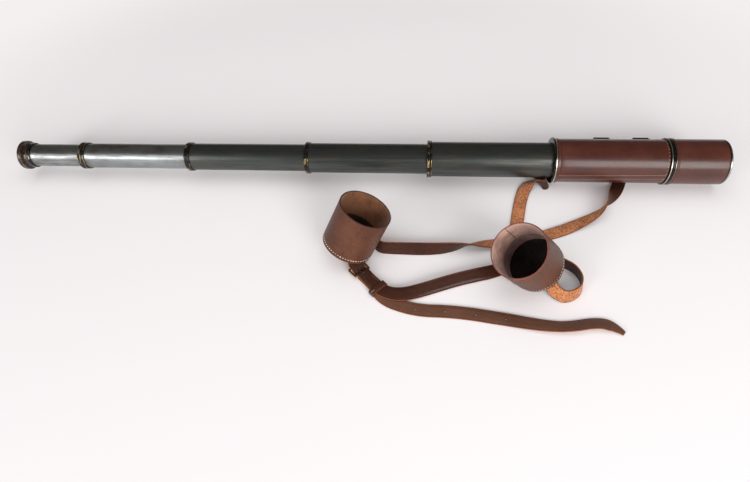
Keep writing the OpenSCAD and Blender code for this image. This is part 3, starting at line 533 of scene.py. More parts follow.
def put(tree, kind, values=None, **settings):
    node = tree.nodes.new(kind)
    node.location = (190 * (len(tree.nodes) % 8), -260 * (len(tree.nodes) // 8))
    for key, value in settings.items():
        setattr(node, key, value)
    for key, value in (values or {}).items():
        if isinstance(value, bpy.types.NodeSocket):
            tree.links.new(value, node.inputs[key])
        else:
            node.inputs[key].default_value = value
    return node


def blend(tree, factor, first, second, mode="MIX"):
    values = {0: factor, 6: first, 7: second}
    return put(tree, "ShaderNodeMix", values, data_type="RGBA", blend_type=mode).outputs[2]


def fit(tree, value, low, high, to_low=0.0, to_high=1.0, smooth=True):
    values = {0: value, 1: low, 2: high, 3: to_low, 4: to_high}
    kind = "SMOOTHSTEP" if smooth else "LINEAR"
    return put(tree, "ShaderNodeMapRange", values, interpolation_type=kind).outputs[0]


def sums(tree, operation, first, second=0.0, third=0.0, clamp=False):
    values = {0: first, 1: second, 2: third}
    return put(tree, "ShaderNodeMath", values, operation=operation, use_clamp=clamp).outputs[0]


def stretch(tree, vector, scale):
    return put(tree, "ShaderNodeMapping", {"Vector": vector, "Scale": scale}).outputs[0]


def noise(tree, vector, scale, detail=3.0, roughness=0.55, distortion=0.0):
    values = {
        "Vector": vector,
        "Scale": scale,
        "Detail": detail,
        "Roughness": roughness,
        "Distortion": distortion,
    }
    return put(tree, "ShaderNodeTexNoise", values).outputs[0]


def new_group(name, inputs, outputs):
    tree = bpy.data.node_groups.new(name, "ShaderNodeTree")
    for label, kind, value in inputs:
        socket = tree.interface.new_socket(label, in_out="INPUT", socket_type=kind)
        if value is not None:
            socket.default_value = value
    for label, kind in outputs:
        tree.interface.new_socket(label, in_out="OUTPUT", socket_type=kind)
    return tree, tree.nodes.new("NodeGroupInput"), tree.nodes.new("NodeGroupOutput")


def leather_grain():
    """Pebbled grain with fine wrinkles: a height for bumps and a slow change of tone."""
    name = "leather_grain"
    if name in bpy.data.node_groups:
        return bpy.data.node_groups[name]
    tree, given, result = new_group(
        name,
        [
            ("Vector", "NodeSocketVector", None),
            ("Pebbles", "NodeSocketFloat", 900.0),
            ("Wrinkles", "NodeSocketFloat", 0.5),
        ],
        [("Height", "NodeSocketFloat"), ("Tone", "NodeSocketFloat")],
    )
    vector, scale, amount = given.outputs[0], given.outputs[1], given.outputs[2]
    warp = put(tree, "ShaderNodeTexNoise", {"Vector": vector, "Scale": 260.0, "Detail": 2.0})
    shift = put(tree, "ShaderNodeVectorMath", {0: warp.outputs[1], 3: 0.0016}, operation="SCALE")
    moved = put(tree, "ShaderNodeVectorMath", {0: vector, 1: shift.outputs[0]}, operation="ADD")
    cells = put(
        tree,
        "ShaderNodeTexVoronoi",
        {"Vector": moved.outputs[0], "Scale": scale},
        feature="DISTANCE_TO_EDGE",
    ).outputs[0]
    pebble = fit(tree, cells, 0.0, 0.22)
    fold = noise(tree, moved.outputs[0], 170.0, 4.0, 0.6, 0.6)
    ridge = sums(tree, "ABSOLUTE", sums(tree, "SUBTRACT", fold, 0.5))
    wrinkle = sums(tree, "MULTIPLY", fit(tree, ridge, 0.0, 0.045, 1.0, 0.0), amount)
    height = sums(tree, "SUBTRACT", pebble, wrinkle)
    slow = noise(tree, vector, 23.0, 4.0, 0.6)
    quick = noise(tree, vector, 420.0, 3.0, 0.65)
    tone = sums(tree, "MULTIPLY_ADD", slow, 0.7, sums(tree, "MULTIPLY", quick, 0.3))
    tree.links.new(height, result.inputs[0])
    tree.links.new(fit(tree, tone, 0.34, 0.66), result.inputs[1])
    return tree


def rubbed():
    """Where a finish is rubbed through: near worn corners and in scattered specks."""
    name = "rubbed"
    if name in bpy.data.node_groups:
        return bpy.data.node_groups[name]
    tree, given, result = new_group(
        name,
        [
            ("Vector", "NodeSocketVector", None),
            ("Wear", "NodeSocketFloat", 0.0),
            ("Specks", "NodeSocketFloat", 0.1),
        ],
        [("Mask", "NodeSocketFloat")],
    )
    vector, wear, specks = given.outputs[0], given.outputs[1], given.outputs[2]
    ragged = noise(tree, vector, 520.0, 4.0, 0.65)
    patches = noise(tree, vector, 90.0, 2.0, 0.5)
    edge = sums(tree, "MULTIPLY", wear, fit(tree, patches, 0.36, 0.62, 0.35, 1.25))
    edge = fit(tree, sums(tree, "MULTIPLY_ADD", ragged, 0.55, edge), 0.92, 1.20)
    dots = sums(tree, "MULTIPLY", fit(tree, noise(tree, vector, 1400.0, 2.0), 0.66, 0.75), specks)
    tree.links.new(sums(tree, "MAXIMUM", edge, dots), result.inputs[0])
    return tree


def drawn_metal():
    """Marks of a tube that slides: streaks along it, rings round it and stains."""
    name = "drawn_metal"
    if name in bpy.data.node_groups:
        return bpy.data.node_groups[name]
    tree, given, result = new_group(
        name,
        [("Vector", "NodeSocketVector", None), ("Rings", "NodeSocketFloat", 0.4)],
        [
            ("Streaks", "NodeSocketFloat"),
            ("Stains", "NodeSocketFloat"),
            ("Height", "NodeSocketFloat"),
        ],
    )
    vector, rings = given.outputs[0], given.outputs[1]
    long = noise(tree, stretch(tree, vector, (9.0, 260.0, 260.0)), 1.0, 4.0, 0.6)
    fine = noise(tree, stretch(tree, vector, (30.0, 1500.0, 1500.0)), 1.0, 3.0, 0.7)
    round_marks = noise(tree, stretch(tree, vector, (900.0, 6.0, 6.0)), 1.0, 3.0, 0.6)
    streaks = sums(tree, "MULTIPLY_ADD", long, 0.6, sums(tree, "MULTIPLY", fine, 0.4))
    ring = sums(tree, "MULTIPLY", fit(tree, round_marks, 0.55, 0.75), rings)
    streaks = sums(tree, "ADD", fit(tree, streaks, 0.36, 0.64), ring, clamp=True)
    cloud = noise(tree, stretch(tree, vector, (26.0, 60.0, 60.0)), 1.0, 5.0, 0.62)
    tree.links.new(streaks, result.inputs[0])
    tree.links.new(fit(tree, cloud, 0.42, 0.70), result.inputs[1])
    height = sums(tree, "MULTIPLY_ADD", fine, 0.5, sums(tree, "MULTIPLY", round_marks, 0.5))
    tree.links.new(height, result.inputs[2])
    return tree


def flesh_fibres():
    """Speckled fibres of a strap's rough side."""
    name = "flesh_fibres"
    if name in bpy.data.node_groups:
        return bpy.data.node_groups[name]
    tree, given, result = new_group(
        name,
        [("Vector", "NodeSocketVector", None)],
        [("Height", "NodeSocketFloat"), ("Tone", "NodeSocketFloat"), ("Pale", "NodeSocketFloat")],
    )
    vector = given.outputs[0]
    clump = noise(tree, vector, 520.0, 4.0, 0.7, 1.2)
    thread = noise(tree, stretch(tree, vector, (500.0, 1600.0, 1600.0)), 1.0, 3.0, 0.7, 0.8)
    slow = noise(tree, vector, 45.0, 3.0)
    tone = sums(tree, "MULTIPLY_ADD", clump, 0.82, sums(tree, "MULTIPLY", slow, 0.18))
    tree.links.new(sums(tree, "ADD", clump, thread), result.inputs[0])
    tree.links.new(fit(tree, tone, 0.42, 0.60), result.inputs[1])
    tree.links.new(fit(tree, thread, 0.58, 0.70), result.inputs[2])
    return tree


def use_group(tree, group, **values):
    node = tree.nodes.new("ShaderNodeGroup")
    node.node_tree = group
    node.location = (190 * (len(tree.nodes) % 8), -260 * (len(tree.nodes) // 8))
    for key, value in values.items():
        if isinstance(value, bpy.types.NodeSocket):
            tree.links.new(value, node.inputs[key])
        else:
            node.inputs[key].default_value = value
    return node


def surface(name, **constants):
    """A new material: its node tree, its shader, and its Object coordinates."""
    material = bpy.data.materials.new(name)
    material.use_nodes = True
    tree = material.node_tree
    shader = tree.nodes["Principled BSDF"]
    for key, value in constants.items():
        shader.inputs[key.replace("_", " ")].default_value = value
    spot = tree.nodes.new("ShaderNodeTexCoord")
    return material, tree, shader, spot


def bump(tree, shader, height, distance, strength=1.0):
    node = put(tree, "ShaderNodeBump", {"Height": height, "Distance": distance}, label="Relief")
    node.inputs["Strength"].default_value = strength
    tree.links.new(node.outputs[0], shader.inputs["Normal"])


def rgba(value, scale=1.0):
    return (*(min(1.0, c * scale) for c in value), 1.0)


def made(name):
    return bpy.data.materials.get(name)


def leather(name, base, pebbles=900.0, wrinkles=0.35, relief=0.00008, gloss=0.40, seam=0.0,
            burnish=None, edge=0.0, polish=0.25, shine=0.5, painted_light_tint=None, painted_light_from=0.0):
    """Polished leather. A seam is a dark closed line along V where U is zero.

    On a strap, edge is the V of its edges, and past the U of painted_light_from it is painted
    paler: painted light where the strap's tail lies lit.
    """
    if made(name):
        return made(name)
    material, tree, shader, spot = surface(
        name, Coat_Weight=polish, Coat_Roughness=0.22, Specular_IOR_Level=shine
    )
    grain = use_group(
        tree, leather_grain(), Vector=spot.outputs["Object"], Pebbles=pebbles, Wrinkles=wrinkles
    )
    tint = blend(tree, grain.outputs[1], rgba(base, 0.72), rgba(base, 1.22))
    pits = fit(tree, grain.outputs[0], -0.2, 0.6, 0.55, 1.0)
    grey = put(tree, "ShaderNodeCombineColor", {0: pits, 1: pits, 2: pits})
    tint = blend(tree, 1.0, tint, grey.outputs[0], "MULTIPLY")
    if burnish:
        wear = put(tree, "ShaderNodeAttribute", attribute_name="wear").outputs["Fac"]
        mask = use_group(tree, rubbed(), Vector=spot.outputs["Object"], Wear=wear, Specks=0.0)
        tint = blend(tree, mask.outputs[0], tint, rgba(burnish))
    # Painted light: past painted_light_from the grain is painted paler, a painted highlight on the
    # lit tail
    if painted_light_tint:
        along = put(tree, "ShaderNodeSeparateXYZ", {0: spot.outputs["UV"]}).outputs[0]
        past = fit(tree, along, painted_light_from, painted_light_from + 0.08)
        painted_lit_tail = blend(tree, grain.outputs[1], rgba(painted_light_tint, 0.80), rgba(painted_light_tint, 1.15))
        tint = blend(tree, past, tint, painted_lit_tail)
    height = grain.outputs[0]
    if seam or edge:
        flat = put(tree, "ShaderNodeSeparateXYZ", {0: spot.outputs["UV"]})
        if seam:
            off = sums(tree, "ABSOLUTE", flat.outputs[0])
            closed = fit(tree, off, seam * 0.3, seam, 1.0, 0.0)
        else:
            off = sums(tree, "ABSOLUTE", flat.outputs[1])
            closed = fit(tree, off, edge - 0.0011, edge - 0.0002)
        tint = blend(tree, closed, tint, rgba(base, 0.22))
        height = sums(tree, "MULTIPLY_ADD", closed, -4.0 if seam else 0.0, height)
    tree.links.new(tint, shader.inputs["Base Color"])
    rough = fit(tree, grain.outputs[1], 0.0, 1.0, gloss - 0.05, gloss + 0.07)
    tree.links.new(rough, shader.inputs["Roughness"])
    bump(tree, shader, height, relief)
    return material


def tube_hide(looks):
    """The leather sewn round the barrel and the sunshade."""
    return leather(
        "barrel_leather_sewn", looks.barrel, 760.0, 0.10, 0.00004, 0.36, 0.0004,
        polish=0.45, shine=0.35,
    )


def cap_hide(name, base, seam=0.0, burnish=None, gloss=0.45, polish=0.10):
    return leather(
        name, base, 640.0, 0.25, 0.00007, gloss, seam, burnish, polish=polish, shine=0.15
    )


def strap_sides(looks):
    """What the folded and looped pieces of strap show: grain, rough side and cut edge."""
    return (
        leather("loop_leather", looks.strap, 700.0, 0.3, 0.00008, 0.42),
        flesh("flesh_side", looks.flesh),
        cut_edge(looks),
    )


def cut_edge(looks):
    return leather(
        "strap_edge", looks.edge, 900.0, 0.2, 0.00008, 0.5, polish=0.0, shine=0.15
    )


def flesh(name, base):
    """The rough side of a strap, orange-tan and speckled."""
    if made(name):
        return made(name)
    material, tree, shader, spot = surface(name, Sheen_Weight=0.15, Specular_IOR_Level=0.25)
    fibres = use_group(tree, flesh_fibres(), Vector=spot.outputs["Object"])
    dark = (base[0] * 0.34, base[1] * 0.27, base[2] * 0.27)
    pale = (min(1, base[0] * 1.7), min(1, base[1] * 2.0), min(1, base[2] * 2.3))
    tint = blend(tree, fibres.outputs[1], rgba(dark), rgba(base, 1.15))
    tint = blend(tree, sums(tree, "MULTIPLY", fibres.outputs[2], 0.8), tint, rgba(pale))
    flat = put(tree, "ShaderNodeSeparateXYZ", {0: spot.outputs["UV"]})
    rim = fit(tree, sums(tree, "ABSOLUTE", flat.outputs[1]), 0.0072, 0.0086)
    tint = blend(tree, rim, tint, rgba(base, 0.28))
    tree.links.new(tint, shader.inputs["Base Color"])
    rough = fit(tree, fibres.outputs[1], 0.0, 1.0, 0.95, 0.78)
    tree.links.new(rough, shader.inputs["Roughness"])
    bump(tree, shader, fibres.outputs[0], 0.00025)
    return material


def suede(name, base, seam=0.0, nap=0.5):
    """A napped lining; the seam is a dark line where U is zero."""
    if made(name):
        return made(name)
    material, tree, shader, spot = surface(
        name, Sheen_Weight=0.25, Sheen_Roughness=0.4, Specular_IOR_Level=0.2
    )
    slow = noise(tree, spot.outputs["Object"], 60.0, 4.0, 0.6)
    fine = noise(tree, spot.outputs["Object"], 900.0, 4.0, 0.7, 0.8)
    tone = fit(tree, sums(tree, "MULTIPLY_ADD", fine, nap, slow), 0.55, 0.95)
    tint = blend(tree, tone, rgba(base, 0.62), rgba(base, 1.25))
    height = fine
    if seam:
        flat = put(tree, "ShaderNodeSeparateXYZ", {0: spot.outputs["UV"]})
        off = sums(tree, "ABSOLUTE", flat.outputs[0])
        closed = fit(tree, off, seam * 0.3, seam, 1.0, 0.0)
        tint = blend(tree, closed, tint, rgba(base, 0.16))
        height = sums(tree, "MULTIPLY_ADD", closed, -3.0, fine)
    tree.links.new(tint, shader.inputs["Base Color"])
    tree.links.new(fit(tree, tone, 0.0, 1.0, 0.95, 0.8), shader.inputs["Roughness"])
    bump(tree, shader, height, 0.00018)
    return material


def tube_metal(name, base, stain, low_rough, high_rough, rings=0.35, metallic=1.0, haze=0.35):
    """A drawn tube with the marks of use."""
    if made(name):
        return made(name)
    material, tree, shader, spot = surface(name, Metallic=metallic)
    marks = use_group(tree, drawn_metal(), Vector=spot.outputs["Object"], Rings=rings)
    tint = blend(tree, marks.outputs[0], rgba(base, 0.80), rgba(base, 1.22))
    tint = blend(tree, sums(tree, "MULTIPLY", marks.outputs[1], haze), tint, rgba(stain))
    tree.links.new(tint, shader.inputs["Base Color"])
    rough = fit(tree, marks.outputs[0], 0.0, 1.0, high_rough, low_rough)
    tree.links.new(rough, shader.inputs["Roughness"])
    bump(tree, shader, marks.outputs[2], 0.00002)
    return material


def worn_metal(name, finish, under, specks=0.05, gloss=0.20):
    """A dark finish on brass, rubbed through at the worn corners."""
    if made(name):
        return made(name)
    material, tree, shader, spot = surface(name, Coat_Weight=0.3, Coat_Roughness=0.12)
    wear = put(tree, "ShaderNodeAttribute", attribute_name="wear").outputs["Fac"]
    mask = use_group(tree, rubbed(), Vector=spot.outputs["Object"], Wear=wear, Specks=specks)
    mottled = noise(tree, spot.outputs["Object"], 330.0, 3.0)
    dark = blend(tree, fit(tree, mottled, 0.35, 0.65), rgba(finish, 0.7), rgba(finish, 1.5))
    tree.links.new(blend(tree, mask.outputs[0], dark, rgba(under)), shader.inputs["Base Color"])
    metallic = fit(tree, mask.outputs[0], 0.0, 1.0, 0.55, 1.0)
    tree.links.new(metallic, shader.inputs["Metallic"])
    rough = fit(tree, mottled, 0.3, 0.7, gloss - 0.06, gloss + 0.10)
    tree.links.new(rough, shader.inputs["Roughness"])
    bump(tree, shader, mottled, 0.00002)
    return material


def bright_metal(name, base, rough=0.24, tarnish=0.3):
    """Polished metal, dulled in places."""
    if made(name):
        return made(name)
    material, tree, shader, spot = surface(name, Metallic=1.0)
    cloud = noise(tree, spot.outputs["Object"], 140.0, 5.0, 0.65)
    dull = fit(tree, cloud, 0.48, 0.70, 0.0, tarnish)
    tree.links.new(blend(tree, dull, rgba(base), rgba(base, 0.25)), shader.inputs["Base Color"])
    spread = fit(tree, cloud, 0.3, 0.7, rough - 0.05, rough + 0.15)
    tree.links.new(spread, shader.inputs["Roughness"])
    bump(tree, shader, noise(tree, spot.outputs["Object"], 1200.0, 3.0), 0.00002)
    return material


def waxed_thread(name, base):
    if made(name):
        return made(name)
    material, tree, shader, spot = surface(name, Coat_Weight=0.1, Coat_Roughness=0.4)
    twist = noise(tree, spot.outputs["Object"], 2600.0, 2.0, 0.6, 0.5)
    dirt = noise(tree, spot.outputs["Object"], 110.0, 3.0)
    tint = blend(tree, fit(tree, dirt, 0.38, 0.62), rgba(base, 0.55), rgba(base, 1.1))
    tree.links.new(tint, shader.inputs["Base Color"])
    tree.links.new(fit(tree, twist, 0.3, 0.7, 0.5, 0.75), shader.inputs["Roughness"])
    bump(tree, shader, twist, 0.0001)
    return material


def lens_glass(name):
    if made(name):
        return made(name)
    material, tree, shader, spot = surface(
        name, Transmission_Weight=1.0, IOR=1.52, Metallic=0.0
    )
    dust = noise(tree, spot.outputs["Object"], 500.0, 4.0, 0.7)
    tree.links.new(fit(tree, dust, 0.60, 0.80, 0.02, 0.10), shader.inputs["Roughness"])
    tint = blend(tree, fit(tree, dust, 0.4, 0.8), (0.93, 0.98, 0.96, 1), (0.86, 0.92, 0.90, 1))
    tree.links.new(tint, shader.inputs["Base Color"])
    return material


def dress(material, *nodes):
    """Gives CAD nodes that keep their shape a better finish."""
    for name in nodes:
        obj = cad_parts[name]
        if not obj.material_slots:
            obj.data.materials.append(material)
        for slot in obj.material_slots:
            slot.material = material


# ---- operators ----------------------------------------------------------------------------


class TELESCOPE_OT_stage(bpy.types.Operator):
    """Camera at the photograph's angle, plain pale floor and soft light"""

    bl_idname = "telescope.stage"
    bl_label = "Stage"

    def execute(self, context):
        scene = context.scene
        looks = scene.telescope_stage
        yaw, pitch, roll = looks.camera_turn
        ahead = Vector(
            (math.sin(yaw) * math.cos(pitch), math.cos(yaw) * math.cos(pitch), -math.sin(pitch))
        )
        level = Vector((math.cos(yaw), -math.sin(yaw), 0))
        over = level.cross(ahead)
        right = level * math.cos(roll) + over * math.sin(roll)
        up = over * math.cos(roll) - level * math.sin(roll)
        data = bpy.data.cameras.new("camera")
        data.sensor_width = 36
        data.lens = looks.lens
        data.clip_start = 0.01
        camera = bpy.data.objects.new("camera", data)
        turn = Matrix((right, up, -ahead)).transposed().to_4x4()
        camera.matrix_world = Matrix.Translation(looks.camera_place) @ turn
        scene.collection.objects.link(camera)
        scene.camera = camera
        scene.view_settings.view_transform = "Standard"

        bm = bmesh.new()
        bmesh.ops.create_grid(bm, x_segments=8, y_segments=8, size=12)
        mesh = bpy.data.meshes.new("floor")
        bm.to_mesh(mesh)
        bm.free()
        material, tree, shader, spot = surface("floor_cloth", Roughness=0.9)
        cloud = noise(tree, spot.outputs["Object"], 2.2, 3.0)
        tint = blend(tree, cloud, rgba(looks.floor, 0.985), rgba(looks.floor, 1.015))
        tree.links.new(tint, shader.inputs["Base Color"])
        shader.inputs["Specular IOR Level"].default_value = 0.1
        # Away from the object the camera sees the floor as plain as the backdrop
        reach = put(tree, "ShaderNodeVectorMath", {0: spot.outputs["Object"]}, operation="LENGTH")
        far = fit(tree, reach.outputs["Value"], looks.plain_from, looks.plain_to)
        path = put(tree, "ShaderNodeLightPath")
        plain = put(tree, "ShaderNodeEmission", {0: rgba(looks.floor), 1: 1.0})
        either = put(
            tree,
            "ShaderNodeMixShader",
            {
                0: sums(tree, "MULTIPLY", far, path.outputs["Is Camera Ray"]),
                1: shader.outputs[0],
                2: plain.outputs[0],
            },
        )
        tree.links.new(either.outputs[0], tree.nodes["Material Output"].inputs[0])
        mesh.materials.append(material)
        floor = bpy.data.objects.new("floor", mesh)
        scene.collection.objects.link(floor)

        world = bpy.data.worlds.new("surround")
        scene.world = world
        world.use_nodes = True
        tree = world.node_tree
        backdrop = tree.nodes["Background"]
        path = put(tree, "ShaderNodeLightPath")
        tint = blend(tree, path.outputs["Is Glossy Ray"], rgba(looks.surround), rgba(looks.room))
        tree.links.new(tint, backdrop.inputs[0])
        seen = put(tree, "ShaderNodeBackground", {0: rgba(looks.floor), 1: 1.0})
        either = put(
            tree,
            "ShaderNodeMixShader",
            {0: path.outputs[0], 1: backdrop.outputs[0], 2: seen.outputs[0]},
        )
        tree.links.new(either.outputs[0], tree.nodes["World Output"].inputs[0])

        # The two boxes are what polished metal and leather mirror
        key, top, box = looks.key_power, looks.top_power, looks.box_power
        for name, place, aim, size, power, mirrored in (
            ("window", (0.0, -2.3, 1.05), (0, 0, 0.05), (5.2, 1.5), key, False),
            ("ceiling", (0.15, 0.3, 2.2), (0, 0, 0), (3.0, 2.4), top, False),
            ("left_box", (-1.95, -2.03, 1.11), (-1.95, 0, 0.05), (1.1, 1.4), box, True),
            ("right_box", (1.5, -2.03, 1.11), (1.5, 0, 0.05), (1.4, 1.4), box * 1.3, True),
        ):
            lamp = bpy.data.lights.new(name, "AREA")
            lamp.shape = "RECTANGLE"
            lamp.size, lamp.size_y = size
            lamp.energy = power
            obj = bpy.data.objects.new(name, lamp)
            way = (Vector(aim) - Vector(place)).to_track_quat("-Z", "Y")
            obj.matrix_world = Matrix.Translation(place) @ way.to_matrix().to_4x4()
            obj.visible_glossy = mirrored
            scene.collection.objects.link(obj)
        return {"FINISHED"}


class TELESCOPE_OT_draws(bpy.types.Operator):
    """Draw tubes, collars and the brass fittings inside them"""

    bl_idname = "telescope.draws"
    bl_label = "Draws and collars"

    def execute(self, context):
        looks = context.scene.telescope_metal
        stain = (0.15, 0.13, 0.115)
        nickel = tube_metal("satin_nickel", looks.nickel, stain, 0.32, 0.50, 0.3, haze=0.6)
        dark_stain = (0.13, 0.112, 0.095)
        gunmetal = tube_metal(
            "darkened_draw", looks.gunmetal, dark_stain, 0.28, 0.46, 0.2, 0.9, haze=0.6
        )
        brass = bright_metal("fitting_brass", looks.brass)
        lacquer = worn_metal("collar_lacquer", looks.lacquer, looks.brass, specks=0.02, gloss=0.30)
        dress(nickel, "draw_1_tube", "draw_2_tube")
        dress(gunmetal, "draw_3_tube", "draw_4_tube", "draw_5_tube")
        dress(brass, "draw_1_stop_ring", "erector_tube", "barrel_bush", "barrel_tube")
        for k in range(2, 6):
            dress(brass, f"draw_{k}_bush", f"draw_{k}_stop_ring")
            seat, bore = DRAW_R[k - 1], DRAW_R[k - 2] + 0.0004
            out, reach = seat + 0.0017, COLLAR_LEN[k - 1]
            outline = (
                (bore, -0.0012),
                (out - 0.0007, -0.0012),
                (out, -0.0005),
                (out, reach * 0.38),
                (out - 0.0005, reach * 0.44),
                (out - 0.0005, reach * 0.56),
                (out - 0.0001, reach * 0.62),
                (out - 0.0001, reach - 0.0006),
                (out - 0.0006, reach),
                (seat, reach),
                (seat, 0.0),
                (bore, 0.0),
            )
            place = AXIS @ Matrix.Translation((0, 0, REAR_X[k - 1]))
            worn = ((out, -0.0005), (out, reach * 0.38), (out - 0.0001, reach - 0.0006))
            bm = lathe(outline, place, steps=240, worn=worn)
            mill(bm, place, -0.0003, reach * 0.38, out, 0.00022)
            name = f"draw_{k}_collar_turned"
            piece(bm, name, f"draw_{k}", [lacquer], [f"draw_{k}_collar"])
        return {"FINISHED"}


class TELESCOPE_OT_eyepiece(bpy.types.Operator):
    """Eyecup with its worn finish, and the lenses behind it"""

    bl_idname = "telescope.eyepiece"
    bl_label = "Eyepiece"

    def execute(self, context):
        looks = context.scene.telescope_metal
        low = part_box("eyecup")[0].x - ORIGIN.x
        rim, neck, hole, tube = 0.0212, 0.0183, 0.0045, DRAW_R[0]
        outline = (
            (hole, 0.0052),
            (hole + 0.0015, 0.0045),
            (hole + 0.005, 0.0040),
            (rim - 0.0060, 0.0024),
            (rim - 0.0032, 0.0012),
            (rim - 0.0015, 0.0),
            (rim - 0.0005, 0.0001),
            (rim, 0.0007),
            (rim, 0.0018),
            (rim - 0.0004, 0.0022),
            (rim - 0.0004, 0.0054),
            (rim, 0.0058),
            (rim, 0.0064),
            (rim - 0.0008, 0.0070),
            (neck - 0.0006, 0.0074),
            (neck - 0.0006, 0.0122),
            (neck, 0.0130),
            (neck, 0.0168),
            (neck - 0.0006, 0.0174),
            (tube, 0.0174),
            (tube, 0.0075),
            (hole, 0.0075),
        )
        place = AXIS @ Matrix.Translation((0, 0, low))
        worn = ((rim, 0.0007), (rim, 0.0058), (rim - 0.0015, 0.0), (neck, 0.0130), (neck, 0.0168))
        bm = lathe(outline, place, steps=128, worn=worn)
        bronze = worn_metal("brown_bronze", looks.bronze, looks.brass, specks=0.35, gloss=0.22)
        black = worn_metal("black_lacquer", looks.lacquer, looks.line)
        paint(bm, place, lambda r, z, out: 1 if z > 0.0122 or r < rim - 0.005 else 0)
        piece(bm, "eyecup_turned", "draw_1", [bronze, black], ["eyecup"])
        glass = lens_glass("lens_glass")
        dress(glass, "eye_lens", "field_lens", "erector_rear_lens", "erector_front_lens")
        dress(black, "field_stop", "erector_stop")
        dress(bright_metal("fitting_brass", looks.brass), "eyepiece_cell")
        return {"FINISHED"}


class TELESCOPE_OT_barrel(bpy.types.Operator):
    """Barrel rings, sewn leather cover and the keepers for the strap"""

    bl_idname = "telescope.barrel"
    bl_label = "Barrel"

    def execute(self, context):
        metal = context.scene.telescope_metal
        looks = context.scene.telescope_leather
        lacquer = worn_metal("black_lacquer", metal.lacquer, metal.line)
        line = bright_metal("polished_line", metal.line)
        rear = (
            (0.0248, -0.0012),
            (RING_R - 0.0016, -0.0012),
            (RING_R - 0.0004, -0.0004),
            (RING_R, 0.0004),
            (RING_R, 0.0009),
            (RING_R - 0.0001, 0.0012),
            (RING_R - 0.0001, 0.0020),
            (RING_R - 0.0005, 0.0024),
            (RING_R - 0.0010, 0.0031),
            (RING_R - 0.0012, 0.0070),
            (BARREL_R, 0.0070),
            (BARREL_R, 0.0),
            (0.0248, 0.0),
        )
        hide = tube_hide(looks)
        bm = lathe(rear, AXIS, steps=160)

        def rear_finish(r, z, out):
            if z > 0.0032:
                return 2
            return int(0.0011 < z < 0.0021 and r > RING_R - 0.0005)

        paint(bm, AXIS, rear_finish)
        piece(
            bm, "barrel_rear_collar_turned", "barrel", [lacquer, line, hide],
            ["barrel_rear_collar"],
        )
        front = (
            (BARREL_R, 0.1495),
            (RING_R - 0.0010, 0.1495),
            (RING_R - 0.0002, 0.1501),
            (RING_R, 0.1504),
            (RING_R, 0.1511),
            (RING_R, 0.1522),
            (RING_R - 0.0008, 0.1527),
            (RING_R - 0.0008, 0.1532),
            (RING_R - 0.0001, 0.1537),
            (RING_R - 0.0001, 0.1546),
            (RING_R - 0.0005, 0.1550),
            (BARREL_R, 0.1550),
        )
        bm = lathe(front, AXIS, steps=160)
        paint(bm, AXIS, lambda r, z, out: int(0.1503 < z < 0.1512 and r > RING_R - 0.0006))
        piece(
            bm, "barrel_front_ring_turned", "barrel", [lacquer, line],
            ["barrel_front_ring"],
        )

        # The cover's seam climbs a little towards the front
        low, high = math.radians(-7.75), math.radians(-2.5)
        twist = -(high - low) / 0.13
        seam = -math.pi / 2 - low - twist * 0.010
        cover = (
            (BARREL_R, 0.0070),
            (LEATHER_R - 0.0006, 0.0070),
            (LEATHER_R, 0.0078),
            (LEATHER_R, 0.1487),
            (LEATHER_R - 0.0006, 0.1495),
            (BARREL_R, 0.1495),
        )
        bm = lathe(cover, AXIS, steps=128, soften=0.0003, seam=seam, twist=twist)
        piece(bm, "barrel_cover", "barrel", [hide], ["barrel_leather"])
        thread = waxed_thread("barrel_thread", looks.barrel_thread)
        marks = []
        count = int(0.139 / looks.fine_pitch)
        for k in range(count + 1):
            x = 0.0085 + k * looks.fine_pitch
            t = (x - 0.010) / 0.13
            upper, lower = 0.5 + 4.25 * t, -16.0 + 6.25 * t
            for angle in (upper, lower):
                marks.append(axis_mark(x, math.radians(angle), LEATHER_R))
        around = round(2 * math.pi * LEATHER_R / looks.ring_pitch)
        for k in range(around):
            marks.append(axis_mark(0.1474, 2 * math.pi * k / around, LEATHER_R, True))
        stitches(marks, looks, "barrel_stitches", "barrel", thread, 1.5, 0.42)

        black = leather(
            "keeper_leather", looks.black, 800.0, 0.3, 0.0001, 0.45, polish=0.0, shine=0.15
        )
        dull = leather("keeper_flesh", (0.05, 0.03, 0.02), 700.0, 0.5, 0.0001, 0.7)
        cross = LEATHER_R + 0.00075
        path = []
        for z in (-0.0148, -0.0140, -0.0130, -0.0120, -0.0112):
            path.append(Vector((math.sqrt(cross**2 - z**2), z)))
        bend = filleted(
            ((path[-1].x, -0.0108), (0.0303, -0.0101), (0.03325, -0.0101), (0.03325, 0.0101),
             (0.0303, 0.0101), (path[-1].x, 0.0108)), 0.0014, steps=5
        )
        path += bend + [Vector((p.x, -p.y)) for p in reversed(path)]
        for label, x in KEEPER_X.items():
            # X of the path is away from the axis at the back, Y is up, width along the barrel
            middle = Matrix.Translation((ORIGIN.x + x, ORIGIN.y, AXIS_Z)) @ Matrix.Rotation(
                KEEPER_TURN, 4, "X"
            )
            place = middle @ Matrix(((0, 0, 1, 0), (1, 0, 0, 0), (0, 1, 0, 0), (0, 0, 0, 1)))
            bm = bmesh.new()
            w, h = 0.0100, 0.00075
            section = [
                (-w, -h, 2), (-w, -h + 0.0004, 2), (-w + 0.0030, h - 0.0001, 0),
                (-w + 0.0036, h, 0), (w - 0.0036, h, 0), (w - 0.0030, h - 0.0001, 0),
                (w, -h + 0.0004, 2), (w, -h, 1),
            ]
            band(bm, path_frames(path, place, flip=False), section)
            name = f"barrel_{label}_keeper"
            piece(bm, name + "_bridge", "barrel", [black, dull, black], [name])
            marks = []
            for z in (-0.0130, 0.0130):
                angle = math.asin(z / (LEATHER_R + 0.0015)) + KEEPER_TURN
                out = Vector((0, math.cos(angle), math.sin(angle)))
                for k in range(-2, 3):
                    spot = Vector((ORIGIN.x + x + k * 0.0026, ORIGIN.y, AXIS_Z))
                    marks.append((spot + out * (LEATHER_R + 0.0015), Vector((1, 0, 0)), out))
            stitches(marks, looks, name + "_stitches", "barrel", thread)
        return {"FINISHED"}


